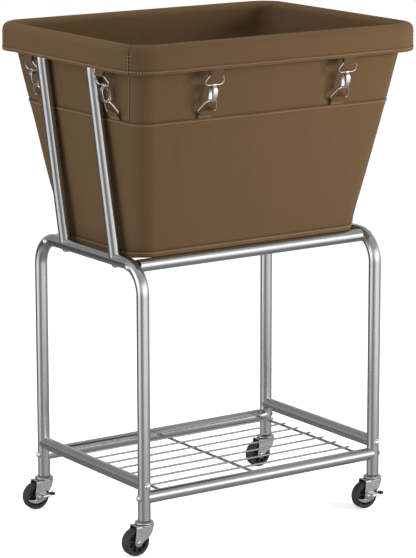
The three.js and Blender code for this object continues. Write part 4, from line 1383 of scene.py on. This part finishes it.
def add_studio_floor():
    """A very wide pale floor. Shiny surfaces mirror the light tent through it, dimmed close to the sorter by
    a painted shadow.
    """
    bpy.ops.mesh.primitive_plane_add(size=FLOOR_SIZE)
    floor = bpy.context.object
    floor.name = "studio_floor"
    material, tree, shader = new_material("studio_floor", Roughness=0.9, Base_Color=grey(0.93),
                                          Specular_IOR_Level=0.0, Emission_Color=WHITE)
    rays = add_node(tree, "LightPath").outputs
    tree.links.new(remap(tree, rays["Is Camera Ray"], 0, FLOOR_GLOW), shader.inputs["Emission Strength"])
    spot = add_node(tree, "TexCoord").outputs["Object"]
    reach = add_node(tree, "VectorMath", {0: spot}, operation="LENGTH").outputs["Value"]
    # Painted shadow of the sorter on the floor, seen only by shiny surfaces.
    painted_shadow_level = ramp(tree, remap(tree, reach, 0, 1, 0, MIRRORED_REACH), MIRRORED_FLOOR)
    veil = add_node(tree, "BsdfTransparent", {"Color": painted_shadow_level}).outputs[0]
    haze = add_node(tree, "Emission", {"Strength": remap(tree, painted_shadow_level, MIRRORED_HAZE, 0)}).outputs[0]
    mirrored = add_node(tree, "AddShader", {0: veil, 1: haze}).outputs[0]
    surface = mix_shaders(tree, rays["Is Glossy Ray"], shader.outputs[0], mirrored)
    tree.links.new(surface, tree.nodes["Material Output"].inputs["Surface"])
    floor.data.materials.append(material)


def add_light_tent():
    """World: white to the camera, even to matte surfaces, banded like a light tent to shiny ones."""
    world = bpy.data.worlds.new("light_tent")
    bpy.context.scene.world = world
    world.use_nodes = True
    tree = world.node_tree
    tree.nodes.clear()
    ray = add_node(tree, "TexCoord").outputs["Generated"]
    x, y, z = add_node(tree, "SeparateXYZ", {0: ray}).outputs
    heading = remap(tree, arithmetic(tree, "ARCTAN2", y, x), 0, 1, -math.pi, math.pi)
    height = remap(tree, z, 0, 1, -1, 1)
    walls = arithmetic(tree, "MULTIPLY", ramp(tree, heading, TENT_HEADINGS, -180, 180),
                       ramp(tree, height, TENT_HEIGHTS, -1, 1))
    reflected = arithmetic(tree, "ADD", walls, ramp(tree, height, TENT_TOP, -1, 1))
    matte, glossy, seen = (add_node(tree, "Background", {"Color": WHITE, "Strength": strength}).outputs[0]
                           for strength in (MATTE_LEVEL, reflected, 1.0))
    rays = add_node(tree, "LightPath").outputs
    lighting = mix_shaders(tree, rays["Is Glossy Ray"], matte, glossy)
    add_node(tree, "OutputWorld", {"Surface": mix_shaders(tree, rays["Is Camera Ray"], lighting, seen)})


def add_soft_light(name, place, target, size, power):
    """A square lamp that neither the camera nor a shiny surface sees."""
    lamp = bpy.data.lights.new(name, "AREA")
    lamp.size = size
    lamp.energy = power
    made = bpy.data.objects.new(name, lamp)
    bpy.context.scene.collection.objects.link(made)
    made.location = place
    made.rotation_euler = (Vector(target) - Vector(place)).to_track_quat("-Z", "Y").to_euler()
    made.visible_glossy = False
    made.visible_camera = False


def add_camera():
    """The photograph's viewpoint: from the front left, a little above the cuff, through a long lens."""
    camera = bpy.data.objects.new("camera", bpy.data.cameras.new("camera"))
    bpy.context.scene.collection.objects.link(camera)
    camera.location = CAMERA_PLACE
    camera.rotation_mode = "QUATERNION"
    turn = Matrix.Rotation(CAMERA_HEADING, 3, "Z") @ Matrix.Rotation(math.pi / 2 - CAMERA_PITCH, 3, "X")
    camera.rotation_quaternion = (turn @ Matrix.Rotation(CAMERA_ROLL, 3, "Z")).to_quaternion()
    camera.data.sensor_width = 36
    camera.data.lens = CAMERA_LENS
    camera.data.clip_end = 200
    bpy.context.scene.camera = camera


add_studio_floor()
add_light_tent()
for lamp_settings in LAMPS:
    add_soft_light(*lamp_settings)
add_camera()
bpy.context.scene.view_settings.view_transform = "Standard"
